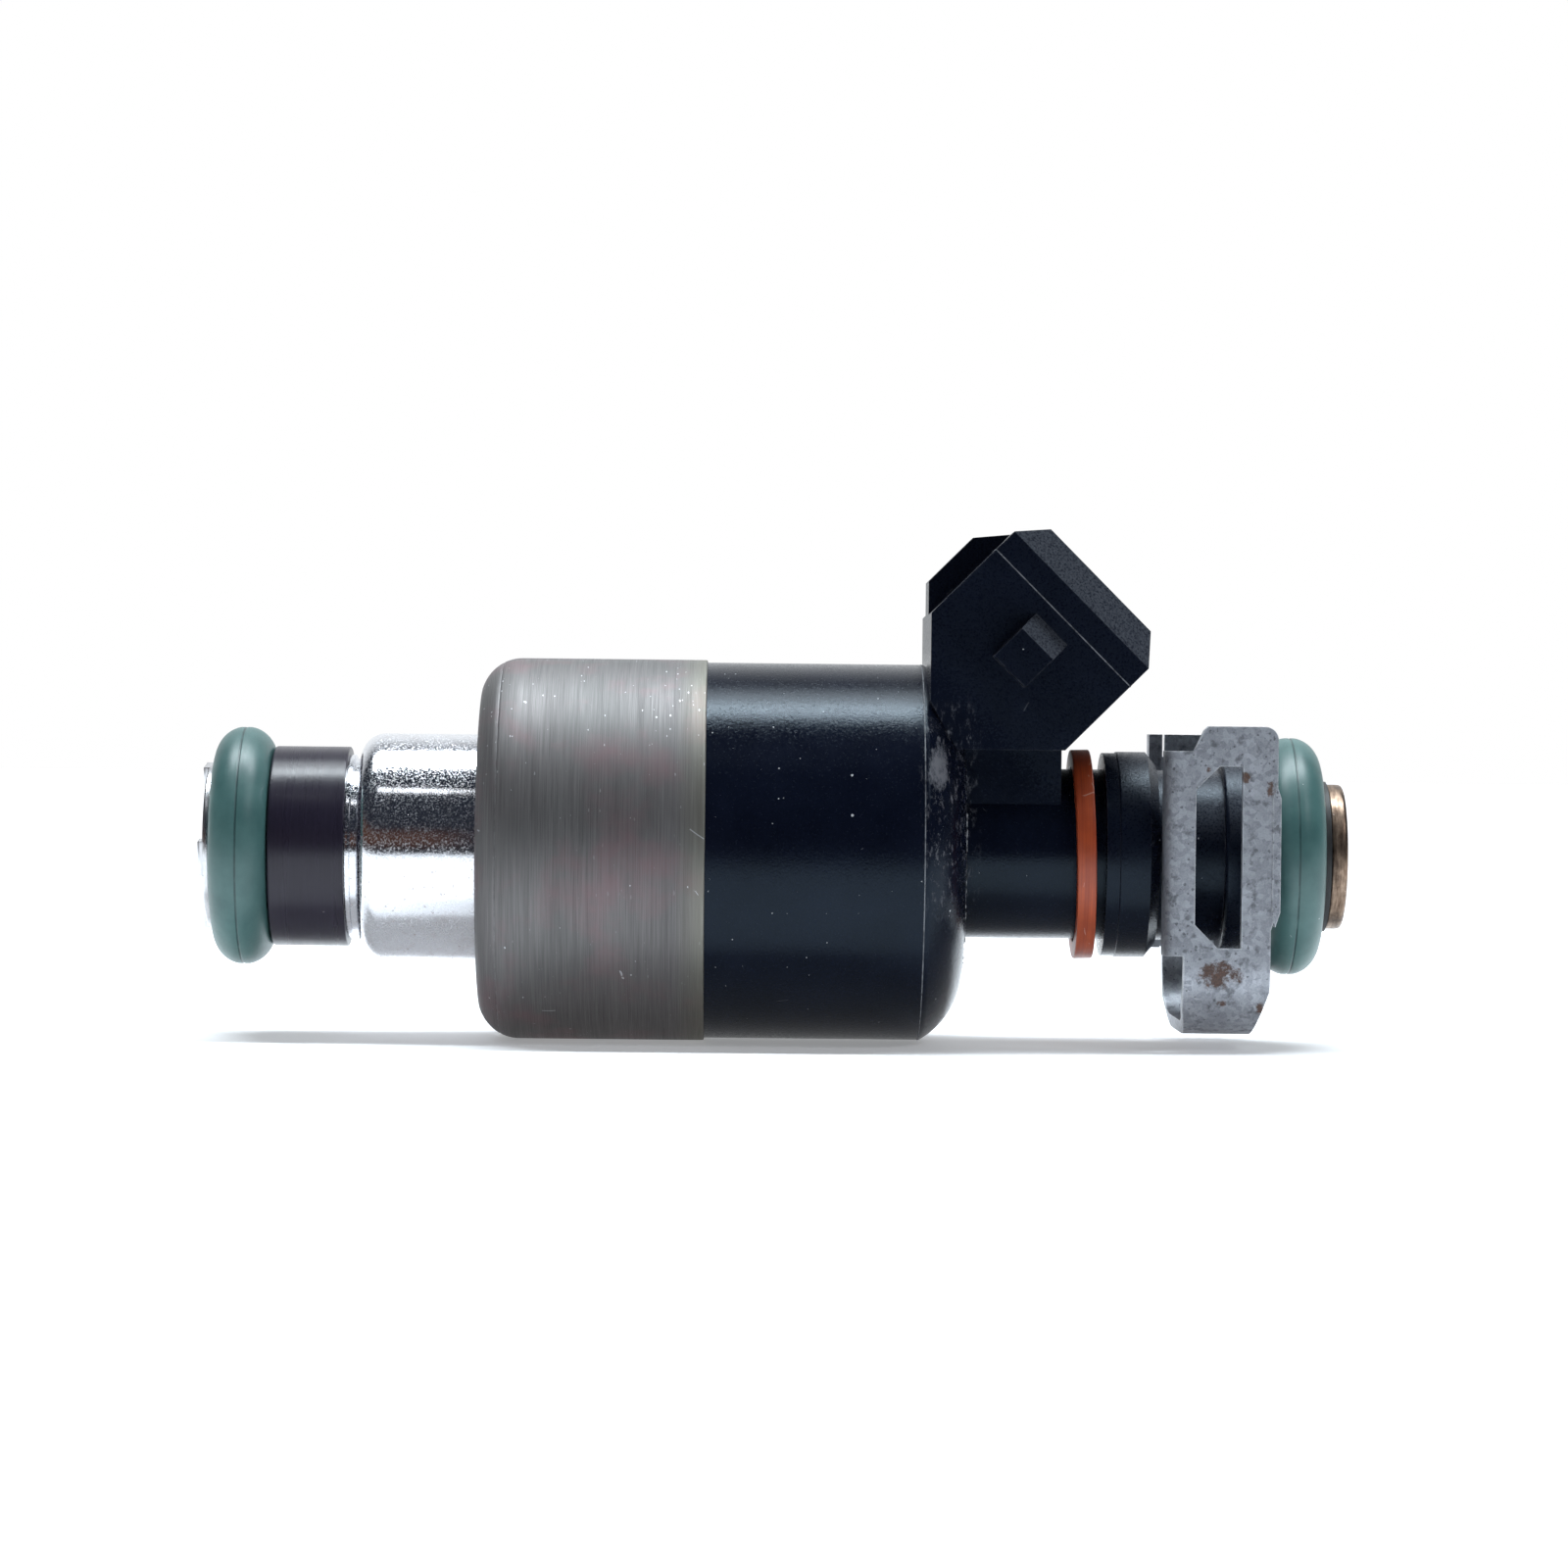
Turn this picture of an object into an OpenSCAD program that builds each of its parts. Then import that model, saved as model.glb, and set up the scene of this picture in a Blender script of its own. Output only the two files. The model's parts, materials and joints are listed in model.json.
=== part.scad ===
// Top-feed solenoid fuel injector with a 45 degree two-blade plug socket.
// The injector lies along X: spray end at -X, fuel inlet at +X, plug socket up and to +X.
// The origin is the centre of the lower O-ring, on the injector's axis.

/* [Seals] */
// Radius of an O-ring's cross-section
ring_section_r = 1.78; // [1.70:0.01:1.80]
// Radius of the circle through the middle of an O-ring's section
ring_mid_r = 5.5; // [5.48:0.01:5.60]
// Radius of the moulding land round an O-ring's crown
ring_crown_r = 7.25; // [7.20:0.01:7.26]
// Station of the upper O-ring
upper_ring_x = 63.9; // [63.8:0.1:64.2]

/* [Nozzle end] */
// Outer radius of the disc that keeps the lower O-ring on
tip_disc_r = 5.05; // [4.6:0.05:5.4]
// Radius of the spigot that carries the lower O-ring
spigot_r = 3.7; // [3.5:0.05:3.7]
// Radius of the black spacer band
band_r = 6.1; // [5.6:0.05:6.6]
// Right end of the black spacer band
band_end_x = 6.4; // [5.5:0.1:6.8]
// Left end of the chromed nozzle sleeve
sleeve_x = 7.1; // [7.0:0.1:7.5]
// Radius of the chromed nozzle sleeve
sleeve_r = 6.95; // [6.8:0.05:7.2]
// Corner radius of the chromed nozzle sleeve
sleeve_round = 1.45; // [0.5:0.05:1.5]

/* [Solenoid housing] */
// Left face of the steel housing
can_x = 14.5; // [14.4:0.1:14.6]
// Right end of the steel that shows
can_end_x = 28.2; // [28.2:0.1:29.0]
// Outer radius of the steel housing
can_r = 11.65; // [11.4:0.05:12.0]
// Radius of the arc on the housing's left corner
can_round = 2.53; // [2.0:0.01:2.6]

/* [Moulded body] */
// Outer radius of the black moulding
mould_r = 11.5; // [11.3:0.05:11.6]
// Station where the end dome of the moulding starts
dome_x = 41.3; // [40.5:0.1:41.6]
// Radius of the arc of the end dome
dome_round = 4.95; // [4.8:0.05:5.0]
// Radius of the neck behind the dome
neck_r = 5.2; // [5.1:0.05:5.25]
// Left end of the collar on the neck
collar_x = 52.4; // [52.3:0.1:52.8]
// Radius of the collar
collar_r = 6.3; // [6.1:0.05:6.4]
// Radius of the groove that the clip's lips sit in
groove_r = 5.2; // [4.8:0.05:5.2]
// Radius of the flange between the clip groove and the upper O-ring
flange_r = 5.9; // [5.7:0.05:6.1]

/* [Plug socket] */
// Distance of the socket's centre line from the injector's axis origin, across the socket
socket_t = 24.9; // [24.8:0.05:25.0]
// Distance of the socket's mouth along its own direction
socket_mouth_w = 48.4; // [47.8:0.1:48.6]
// Thickness of the socket block, across its centre line
socket_h = 11.5; // [11.2:0.1:11.8]
// Width of the socket block along Y
socket_y = 15; // [14.6:0.1:15.4]
// Depth of the cup that takes the plug
cup_depth = 9; // [8.5:0.1:9.4]
// Size of the cup across its centre line
cup_h = 7.2; // [7.0:0.1:7.4]
// Width of the cup along Y
cup_y = 10.6; // [10.4:0.1:11]
// Distance between the two blades' centres
blade_pitch = 5; // [4.8:0.1:5.2]
// Width of a blade
blade_w = 2.8; // [2.6:0.1:3.0]
// Thickness of a blade
blade_t = 0.8; // [0.6:0.1:0.8]

/* [Identity ring] */
// Left face of the ring
id_ring_x = 50.6; // [50.5:0.1:50.7]
// Thickness of the ring
id_ring_w = 1.15; // [1.0:0.05:1.2]
// Outer radius of the ring
id_ring_r = 6.4; // [6.2:0.05:6.6]
// Lean of the loose ring on the neck, in degrees
id_ring_lean = 1.3; // [0:0.1:1.5]

/* [Retainer clip] */
// Half width of the clip over its two side plates
clip_y = 8; // [7.8:0.05:8.2]
// Thickness of the clip's sheet
clip_t = 0.8; // [0.6:0.05:0.8]
// Lowest point of the clip
clip_bottom_z = -10.75; // [-11:0.05:-10.5]
// Outer bend radius at the bottom of the clip
clip_bend_r = 4.4; // [3.5:0.1:5]

/* [Valve] */
// Radius of the ball
ball_r = 1.9; // [1.8:0.05:1.95]
// Radius of the sliding core
core_r = 4.5; // [4.3:0.05:4.5]
// Gap between the core and the pole, just over the lift
lift_gap = 0.2; // [0.18:0.01:0.25]

/* [Hidden] */
$fn = 96;
eps = 0.01;

// nozzle
tip_face_x = -2.2;
tip_disc_w = 0.38;
tip_nose_r = 3.0;
outlet_r = 2.0;
groove_floor_r = 5.4;
cavity_x = 8.0;
cavity_r = 4.9;
plug_r = sleeve_r;         // the sleeve enters the housing's front hole at its own radius
plug_end_x = 17.6;
fit = 0.02;                // clearance of a pressed or stacked piece

// valve stack
plate_t = 0.2;
seat_x = cavity_x + plate_t;
seat_w = 3.0;
guide_x = seat_x + seat_w;
guide_w = 1.2;
ball_x = guide_x + 0.7;
core_x = guide_x + guide_w + 0.2;
core_w = 3.6;
pole_x = core_x + core_w + lift_gap;

// coil
bobbin_x = 17.7;
bobbin_end_x = 28.15;
bobbin_flange_r = 10.2;
bobbin_barrel_r = 5.5;
bobbin_flange_w = 1.1;
can_bore_r = 10.3;
lip_r = 10.95;             // housing under the moulding
lip_end_x = 31.2;
washer_w = 1.6;

// inlet tube
pole_r = 4.5;
pole_end_x = 28.1;
tube_r = 3.7;
tube_bore_r = 2.6;
tube_flange_r = 4.43;
tube_flange_x = 66.15;
tube_end_x = 67.15;
sleeve_start_x = 24.2;
sleeve_end_x = 31.0;
spring_x = core_x + core_w - 1.3;
spring_turns = 9;
spring_mid_r = 1.35;
spring_wire_r = 0.22;
filter_x = 57;

// moulding
face_x = 43.88;
dome_mid_r = mould_r + 0.03 - sqrt(pow(dome_round, 2) - pow(dome_x - face_x + dome_round, 2));
collar_end_x = 55.65;
flange_x = 59.6;
neck_end_x = 62.05;
web_end_x = 49.7;
web_z = 6.36;
back_wall_x = 41.6;
mouth_chamfer_w = 1.75;    // along the socket's direction
mouth_chamfer_t = 1.45;    // across it
rib_y = 5;
rib_h = 1.45;
latch_t = 2.65;
latch_h = 1.3;
latch_w = 40.5;
latch_flat = 2.35;
latch_ramp = 1.3;
blade_tip_w = 44.4;
terminal_z = 7.5;
terminal_h = 1.8;

// ---- helpers ----

// Revolves a profile of [radius, station] about the injector's axis
module turned() {
    rotate([0, 90, 0]) rotate_extrude() children();
}

// Profile of a plain ring between two stations and two radii
module ring_profile(x0, x1, r_out, r_in = 0) {
    translate([r_in, x0]) square([r_out - r_in, x1 - x0]);
}

// Profile of a ring whose left outer corner is rounded
module rounded_left(x0, x1, r_out, c) {
    ring_profile(x0 + c, x1, r_out);
    ring_profile(x0, x0 + c + eps, r_out - c);
    intersection() {
        translate([r_out - c, x0 + c]) circle(r = c);
        ring_profile(x0, x0 + c, r_out);
    }
}

// Profile of a ring whose right outer corner is rounded
module rounded_right(x0, x1, r_out, c) {
    translate([0, x0 + x1]) mirror([0, 1]) rounded_left(x0, x1, r_out, c);
}

// Section of an O-ring at a station, with its flat land at the crown
module o_ring_profile(x) {
    difference() {
        translate([ring_mid_r, x]) circle(r = ring_section_r);
        translate([ring_crown_r, x - ring_section_r]) square([1, 2 * ring_section_r]);
    }
}

// Section of a small round seal ring
module seal_profile(x, mid_r, section_r) {
    translate([mid_r, x]) circle(r = section_r);
}

// Holes or lugs spread evenly round the axis
module around(n, start = 0) {
    for (i = [0 : n - 1]) rotate([start + i * 360 / n, 0, 0]) children();
}

// Turns the socket's own frame (x along the socket, z towards its upper-left face) into place
module socket_frame() {
    rotate([0, -45, 0]) children();
}

// ---- nozzle end ----

module tip_retainer() {
    color("silver") {
        turned() difference() {
            rounded_left(tip_face_x, tip_face_x + tip_disc_w, tip_disc_r, 0.15);
            ring_profile(tip_face_x - 1, 0, tip_nose_r + fit);
        }
        // staking lugs on the outer face
        around(4, 8.5) translate([tip_face_x - 0.25, -4.95, -1.05]) cube([0.35, 1.1, 2.1]);
    }
}

module lower_o_ring() {
    color("cadetblue") turned() o_ring_profile(0);
}

module spacer_band() {
    color("#1c1a22") turned() difference() {
        rounded_left(ring_section_r + fit, band_end_x, band_r, 0.2);
        ring_profile(0, band_end_x + 1, spigot_r + fit);
    }
}

module spray_housing() {
    color("gainsboro") turned() difference() {
        union() {
            ring_profile(tip_face_x, sleeve_x, tip_nose_r);
            ring_profile(tip_face_x + tip_disc_w + fit, sleeve_x, spigot_r);
            ring_profile(band_end_x, sleeve_x + eps, groove_floor_r);
            rounded_left(sleeve_x, can_x, sleeve_r, sleeve_round);
            ring_profile(can_x - 1, plug_end_x, plug_r);
        }
        ring_profile(tip_face_x - 1, cavity_x + 1, outlet_r);
        ring_profile(cavity_x, plug_end_x + 1, cavity_r);
    }
}

// ---- valve stack ----

module director_plate() {
    color("lightgrey") difference() {
        turned() ring_profile(cavity_x, seat_x, cavity_r - fit);
        around(6) translate([cavity_x - 1, 0, 0.75])
            rotate([0, 90, 0]) cylinder(r = 0.15, h = 2, $fn = 24);
    }
}

module valve_seat() {
    hole_r = 0.6;
    gap = 0.01;
    cone_at = (ball_r + gap) * sqrt(2) - ball_x;     // cone radius is station + cone_at
    color("grey") turned() difference() {
        ring_profile(seat_x, seat_x + seat_w, cavity_r - fit, hole_r);
        polygon([[hole_r - eps, hole_r - cone_at - eps], [guide_x + cone_at, guide_x],
                 [guide_x + cone_at, guide_x + eps], [hole_r - eps, guide_x + eps]]);
        ring_profile(seat_x + 1, seat_x + 2.1, cavity_r + 1, 3.92);
    }
}

module seat_seal() {
    color("black") turned() seal_profile(seat_x + 1.55, 4.4, 0.46);
}

module ball_guide() {
    color("silver") difference() {
        turned() ring_profile(guide_x, guide_x + guide_w, cavity_r - fit, ball_r + 0.06);
        around(6) translate([guide_x - 1, 0, 3.3])
            rotate([0, 90, 0]) cylinder(r = 0.7, h = 4, $fn = 32);
    }
}

module ball_valve() {
    color("white") translate([ball_x, 0, 0]) sphere(r = ball_r);
}

module sliding_core() {
    pocket_end_x = ball_x + ball_r + fit;
    color("darkgrey") difference() {
        turned() difference() {
            ring_profile(core_x, core_x + core_w, core_r);
            ring_profile(core_x - 1, pocket_end_x, ball_r + 0.04);
            ring_profile(core_x, core_x + core_w, 0.9);
            ring_profile(spring_x, core_x + core_w + 1, 1.75);
        }
        around(6, 30) translate([core_x - 1, 0, 3.3])
            rotate([0, 90, 0]) cylinder(r = 0.5, h = 6, $fn = 24);
    }
}

// The spring is swept as one tube: each ring of points stands across the wire
module core_spring() {
    sides = 8;
    steps = 20 * spring_turns;
    length = sleeve_start_x - spring_x - 2 * spring_wire_r - 0.04;
    function spring_point(i, k) =
        let (turn = i / steps * 360 * spring_turns,
             side = k / sides * 360,
             r = spring_mid_r + spring_wire_r * cos(side),
             x = spring_x + spring_wire_r + 0.02 + length * i / steps + spring_wire_r * sin(side))
        [x, r * cos(turn), r * sin(turn)];
    points = [for (i = [0 : steps]) for (k = [0 : sides - 1]) spring_point(i, k)];
    walls = [for (i = [0 : steps - 1]) for (k = [0 : sides - 1])
        let (a = i * sides + k, b = i * sides + (k + 1) % sides)
        [a, b, b + sides, a + sides]];
    first_end = [for (k = [sides - 1 : -1 : 0]) k];
    last_end = [for (k = [0 : sides - 1]) steps * sides + k];
    color("steelblue") polyhedron(points, concat(walls, [first_end], [last_end]), convexity = 10);
}

// ---- solenoid ----

module solenoid_housing() {
    arc_mid_r = can_r - can_round;
    arc_mid_x = can_x + 2.4;
    color("lightslategrey") turned() difference() {
        union() {
            ring_profile(arc_mid_x, can_end_x, can_r);
            ring_profile(can_x, arc_mid_x + eps, arc_mid_r + 0.01);
            intersection() {
                translate([arc_mid_r, arc_mid_x]) circle(r = can_round);
                ring_profile(can_x, arc_mid_x, can_r);
            }
            ring_profile(can_end_x - 1, lip_end_x, lip_r);
        }
        ring_profile(can_x - 1, plug_end_x, plug_r + fit);
        ring_profile(plug_end_x, lip_end_x + 1, can_bore_r);
    }
}

// Places the two terminal legs: side is -1 or 1
module at_blade(side) {
    translate([0, side * blade_pitch / 2 + blade_t / 2, 0]) rotate([90, 0, 0])
        linear_extrude(height = blade_t) children();
}

// Outline of one terminal in the XZ plane: a leg along the axis and a blade at 45 degrees
module terminal_outline() {
    leg_x = bobbin_end_x - 0.9;
    bend_x = terminal_z + socket_t * sqrt(2);
    tip = 0.7;
    translate([leg_x, terminal_z - terminal_h / 2]) square([bend_x - leg_x, terminal_h]);
    rotate(45) polygon([
        [35, -socket_t - blade_w / 2], [blade_tip_w - tip, -socket_t - blade_w / 2],
        [blade_tip_w, -socket_t - blade_w / 2 + tip], [blade_tip_w, -socket_t + blade_w / 2 - tip],
        [blade_tip_w - tip, -socket_t + blade_w / 2], [35, -socket_t + blade_w / 2]]);
}

module terminal_left() {
    color("goldenrod") at_blade(-1) terminal_outline();
}

module terminal_right() {
    color("goldenrod") at_blade(1) terminal_outline();
}

module coil_bobbin() {
    color("ivory") difference() {
        turned() difference() {
            union() {
                ring_profile(bobbin_x, bobbin_x + bobbin_flange_w, bobbin_flange_r);
                ring_profile(bobbin_x, bobbin_end_x, bobbin_barrel_r);
                ring_profile(bobbin_end_x - bobbin_flange_w, bobbin_end_x, bobbin_flange_r);
            }
            ring_profile(bobbin_x - 1, bobbin_end_x + 1, pole_r + fit);
            // a seat for a seal ring at each end
            ring_profile(bobbin_x - 1, bobbin_x + 0.9, 5.3);
            ring_profile(bobbin_end_x - 0.9, bobbin_end_x + 1, 5.3);
        }
        at_blade(-1) terminal_outline();
        at_blade(1) terminal_outline();
    }
}

module coil_winding() {
    color("peru") turned() ring_profile(bobbin_x + bobbin_flange_w + fit,
        bobbin_end_x - bobbin_flange_w - fit, 9.6, bobbin_barrel_r + fit);
}

module bobbin_front_seal() {
    color("black") turned() seal_profile(bobbin_x + 0.47, 4.92, 0.37);
}

module bobbin_rear_seal() {
    color("black") turned() seal_profile(bobbin_end_x - 0.47, 4.92, 0.37);
}

module flux_washer() {
    color("dimgrey") difference() {
        turned() ring_profile(bobbin_end_x + fit, bobbin_end_x + washer_w,
            can_bore_r - fit, pole_r + fit);
        for (side = [-1, 1])
            translate([bobbin_end_x - 1, side * blade_pitch / 2 - 0.6, terminal_z - 1.1])
                cube([4, 1.2, 2.2]);
    }
}

// ---- fuel tube ----

module inlet_tube() {
    color("tan") turned() difference() {
        union() {
            ring_profile(pole_x, pole_end_x, pole_r);
            ring_profile(pole_end_x - 1, tube_end_x, tube_r);
            rounded_right(tube_flange_x, tube_end_x, tube_flange_r, 0.35);
        }
        ring_profile(pole_x - 1, tube_end_x + 1, tube_bore_r);
    }
}

module adjusting_sleeve() {
    color("silver") turned() ring_profile(sleeve_start_x, sleeve_end_x, tube_bore_r - fit, 1.2);
}

module filter_collar() {
    color("darkgoldenrod") turned() ring_profile(filter_x + 7.5, tube_end_x - 0.4,
        tube_bore_r - fit, 1.9);
}

module filter_basket() {
    cage_end_x = filter_x + 7.5 - fit;
    color("wheat") difference() {
        turned() difference() {
            ring_profile(filter_x, cage_end_x, 2.2);
            ring_profile(filter_x + 0.6, cage_end_x + 1, 1.7);
        }
        for (row = [0 : 2]) around(4)
            translate([filter_x + 1.3 + row * 2, -0.7, 0.5]) cube([1.5, 1.4, 3]);
    }
}

// ---- moulding ----

// Turned part of the black moulding
module moulded_barrel() {
    turned() difference() {
        union() {
            ring_profile(can_end_x, dome_x, mould_r);
            ring_profile(dome_x - eps, face_x, dome_mid_r);
            intersection() {
                translate([dome_mid_r, face_x - dome_round]) circle(r = dome_round);
                ring_profile(dome_x - eps, face_x, mould_r);
            }
            ring_profile(face_x - 1, collar_x + 1, neck_r);
            ring_profile(collar_x, collar_x + 0.8, collar_r - 0.08);
            rounded_left(collar_x + 0.8 - eps, collar_end_x - 0.6, collar_r, 0.12);
            polygon([[0, collar_end_x - 0.6 - eps], [collar_r, collar_end_x - 0.6 - eps],
                     [collar_r - 0.75, collar_end_x], [0, collar_end_x]]);
            ring_profile(collar_end_x - eps, flange_x + 1, groove_r);
            rounded_left(flange_x, flange_x + 1, flange_r, 0.25);
            rounded_right(flange_x + 1 - eps, neck_end_x, flange_r, 0.25);
        }
        ring_profile(can_end_x - 1, neck_end_x + 1, tube_r + fit);
        // the housing's lip and the flux washer sit in here
        ring_profile(can_end_x - 1, bobbin_end_x + washer_w + fit, lip_r + fit);
        ring_profile(can_end_x - 1, lip_end_x + fit, lip_r + fit, can_bore_r - fit);
    }
}

// Block of the plug socket, in the socket's own frame
module socket_block() {
    side = socket_h / 2;
    near = socket_mouth_w - mouth_chamfer_w;
    intersection() {
        rotate([90, 0, 0]) translate([0, 0, -socket_y / 2]) linear_extrude(height = socket_y)
            polygon([[20, -socket_t - side], [near, -socket_t - side],
                     [socket_mouth_w, -socket_t - side + mouth_chamfer_t],
                     [socket_mouth_w, -socket_t + side - mouth_chamfer_t],
                     [near, -socket_t + side], [20, -socket_t + side]]);
        translate([0, 0, -socket_t - 20]) linear_extrude(height = 40)
            polygon([[20, -socket_y / 2], [near, -socket_y / 2],
                     [socket_mouth_w, -socket_y / 2 + mouth_chamfer_t],
                     [socket_mouth_w, socket_y / 2 - mouth_chamfer_t],
                     [near, socket_y / 2], [20, socket_y / 2]]);
    }
}

// Key rib along the upper-left face of the socket, in the socket's own frame
module key_rib() {
    foot = -socket_t + socket_h / 2;
    front = socket_mouth_w - mouth_chamfer_w;
    slope = mouth_chamfer_w / mouth_chamfer_t;
    rotate([90, 0, 0]) translate([0, 0, -rib_y / 2]) linear_extrude(height = rib_y)
        polygon([[30, foot - 1], [front, foot - 1], [front, foot],
                 [front - rib_h * slope, foot + rib_h], [30, foot + rib_h]]);
}

// Catch for the plug's wire clip on one side of the socket, in the socket's own frame
module latch_bump(side) {
    y = side * (socket_y / 2 - 1);
    translate([0, 0, -socket_t - latch_t / 2]) linear_extrude(height = latch_t)
        polygon([[latch_w, y], [latch_w, y + side * (1 + latch_h)],
                 [latch_w + latch_flat, y + side * (1 + latch_h)],
                 [latch_w + latch_flat + latch_ramp, y + side],
                 [latch_w + latch_flat + latch_ramp, y]]);
}

module connector_body() {
    color("#15161a") difference() {
        union() {
            moulded_barrel();
            difference() {
                union() {
                    intersection() {
                        union() {
                            socket_frame() socket_block();
                            socket_frame() key_rib();
                        }
                        // behind the back wall and below the web the socket is cut away
                        rotate([90, 0, 0]) translate([0, 0, -10]) linear_extrude(height = 20)
                            polygon([[back_wall_x, 9.2], [back_wall_x, 30], [60, 30],
                                     [60, web_z], [back_wall_x + 1.6, web_z]]);
                    }
                    translate([face_x - 1, -4.2, 0])
                        cube([web_end_x - face_x + 1, 8.4, web_z + 0.5]);
                }
                turned() ring_profile(can_end_x, 60, neck_r - 0.5);
            }
            socket_frame() latch_bump(-1);
            socket_frame() latch_bump(1);
        }
        // cup for the plug
        socket_frame() translate([socket_mouth_w - cup_depth, -cup_y / 2, -socket_t - cup_h / 2])
            cube([cup_depth + 1, cup_y, cup_h]);
        at_blade(-1) terminal_outline();
        at_blade(1) terminal_outline();
    }
}

// ---- pieces on the neck ----

module id_ring() {
    mid_x = id_ring_x + id_ring_w / 2;
    color("orangered") translate([mid_x, 0, 0]) rotate([0, -id_ring_lean, 0])
        turned() ring_profile(-id_ring_w / 2, id_ring_w / 2, id_ring_r, neck_r + 0.15);
}

module upper_o_ring() {
    color("cadetblue") turned() o_ring_profile(upper_ring_x);
}

module backup_ring() {
    color("black") turned() ring_profile(upper_ring_x + ring_section_r + 0.05,
        tube_flange_x - fit, 4.6, tube_r + fit);
}

// ---- retainer clip ----

clip_x = 56.9;             // left edge of the band
clip_end_x = 62.1;         // right edge of the band
plate_end_x = 62.45;       // right edge of the side plates
plate_low_z = -6.3;        // where the plates join the band
plate_step_z = -3.9;       // the plates widen from here upwards
lip_x = 55.75;             // outer face of the bent lip
lip_bend = 1.0;
lip_inner_y = 5.3;
lip_low_z = -5.9;
lip_high_z = 6.4;
tab_x = 57.4;              // foot of the near plate's raised tab
tab_slope = 0.85;          // how far its left side leans in
tab_z = 7.9;
far_z = 7.4;               // top of the far plate
slot_z = 6.0;              // foot of the relief slot in the far plate
window_x = 57.55;
window_end_x = 60.35;
window_low_z = -5.4;
window_high_z = 5.5;
window_cut = 1.4;          // bevel of the window's two left corners
bead_x = 62.15;            // pressed bead along the right edge of each plate
bead_end_x = 62.65;
bead_low_z = -4.1;
bead_high_z = 4.5;
bead_taper = 0.9;
heel_z = -8.0;             // the band narrows below this height
heel_cut = 0.85;

// Outline of the U band across the axis, drawn as [y, z]
module band_outline(top_z) {
    module u_shape(half, low, bend) {
        translate([-half, low + bend]) square([2 * half, top_z - low - bend]);
        translate([-half + bend, low]) square([2 * (half - bend), bend + eps]);
        for (side = [-1, 1]) translate([side * (half - bend), low + bend]) circle(r = bend);
    }
    difference() {
        u_shape(clip_y, clip_bottom_z, clip_bend_r);
        u_shape(clip_y - clip_t, clip_bottom_z + clip_t, clip_bend_r - clip_t);
        translate([-clip_y, top_z]) square([2 * clip_y, 2 * clip_bend_r]);
    }
}

// Outline of a plate whose upper right corner is rounded, drawn in the XZ plane
module rounded_plate(x0, x1, z0, z1, c) {
    translate([x0, z0]) square([x1 - x0 - c, z1 - z0]);
    translate([x1 - c - eps, z0]) square([c + eps, z1 - z0 - c]);
    translate([x1 - c, z1 - c]) circle(r = c);
}

// Side plate: near is true for the side at -Y, which has the raised tab
module clip_plate(near) {
    y = near ? -clip_y + clip_t : clip_y;
    top = near ? lip_high_z : far_z;
    join_x = lip_x + lip_bend;     // where the plate meets the bend of its lip
    translate([0, y, 0]) rotate([90, 0, 0]) linear_extrude(height = clip_t) difference() {
        union() {
            rounded_plate(clip_x, plate_end_x, plate_low_z, top, 0.9);
            translate([join_x - eps, lip_low_z]) square([clip_x - join_x + 0.1, top - lip_low_z]);
            if (near) {
                rounded_plate(tab_x + tab_slope, plate_end_x, 0, tab_z, 0.8);
                polygon([[tab_x, lip_high_z - 1], [tab_x, lip_high_z],
                         [tab_x + 0.7 * tab_slope, tab_z - 0.25], [tab_x + tab_slope, tab_z],
                         [tab_x + tab_slope + eps, tab_z],
                         [tab_x + tab_slope + eps, lip_high_z - 1]]);
            }
        }
        polygon([[window_x, window_low_z + window_cut], [window_x + window_cut, window_low_z],
                 [window_end_x, window_low_z], [window_end_x, window_high_z],
                 [window_x + window_cut, window_high_z], [window_x, window_high_z - window_cut]]);
        if (!near) translate([join_x - 1, slot_z]) square([clip_x - join_x + 1, 3]);
        polygon([[clip_end_x, plate_low_z - 1], [clip_end_x, plate_step_z - 0.4],
                 [plate_end_x, plate_step_z + 0.6], [plate_end_x + 1, plate_step_z + 0.6],
                 [plate_end_x + 1, plate_low_z - 1]]);
    }
}

// Lip bent inwards along the left edge of one plate, drawn in the XY plane
module clip_lip(near) {
    side = near ? -1 : 1;
    top = near ? lip_high_z : far_z;
    bend_y = clip_y - lip_bend;
    translate([0, 0, lip_low_z]) linear_extrude(height = top - lip_low_z) {
        translate([lip_x, side > 0 ? lip_inner_y : -bend_y - eps])
            square([clip_t, bend_y - lip_inner_y + eps]);
        intersection() {
            difference() {
                translate([lip_x + lip_bend, side * bend_y]) circle(r = lip_bend, $fn = 48);
                translate([lip_x + lip_bend, side * bend_y])
                    circle(r = lip_bend - clip_t, $fn = 48);
            }
            translate([lip_x, side > 0 ? bend_y : -clip_y]) square([lip_bend, lip_bend]);
        }
    }
}

// The U band, narrowed towards its bottom
module clip_band() {
    low = clip_bottom_z - 1;
    difference() {
        translate([clip_x, 0, 0]) rotate([90, 0, 90]) linear_extrude(height = clip_end_x - clip_x)
            band_outline(plate_low_z + eps);
        rotate([90, 0, 0]) translate([0, 0, -10]) linear_extrude(height = 20) {
            polygon([[clip_end_x, heel_z], [clip_end_x - heel_cut, clip_bottom_z],
                     [clip_end_x - heel_cut, low], [clip_end_x + 1, low], [clip_end_x + 1, heel_z]]);
            polygon([[clip_x, heel_z - 1], [clip_x + 0.3, clip_bottom_z], [clip_x + 0.3, low],
                     [clip_x - 1, low], [clip_x - 1, heel_z - 1]]);
        }
    }
}

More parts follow.
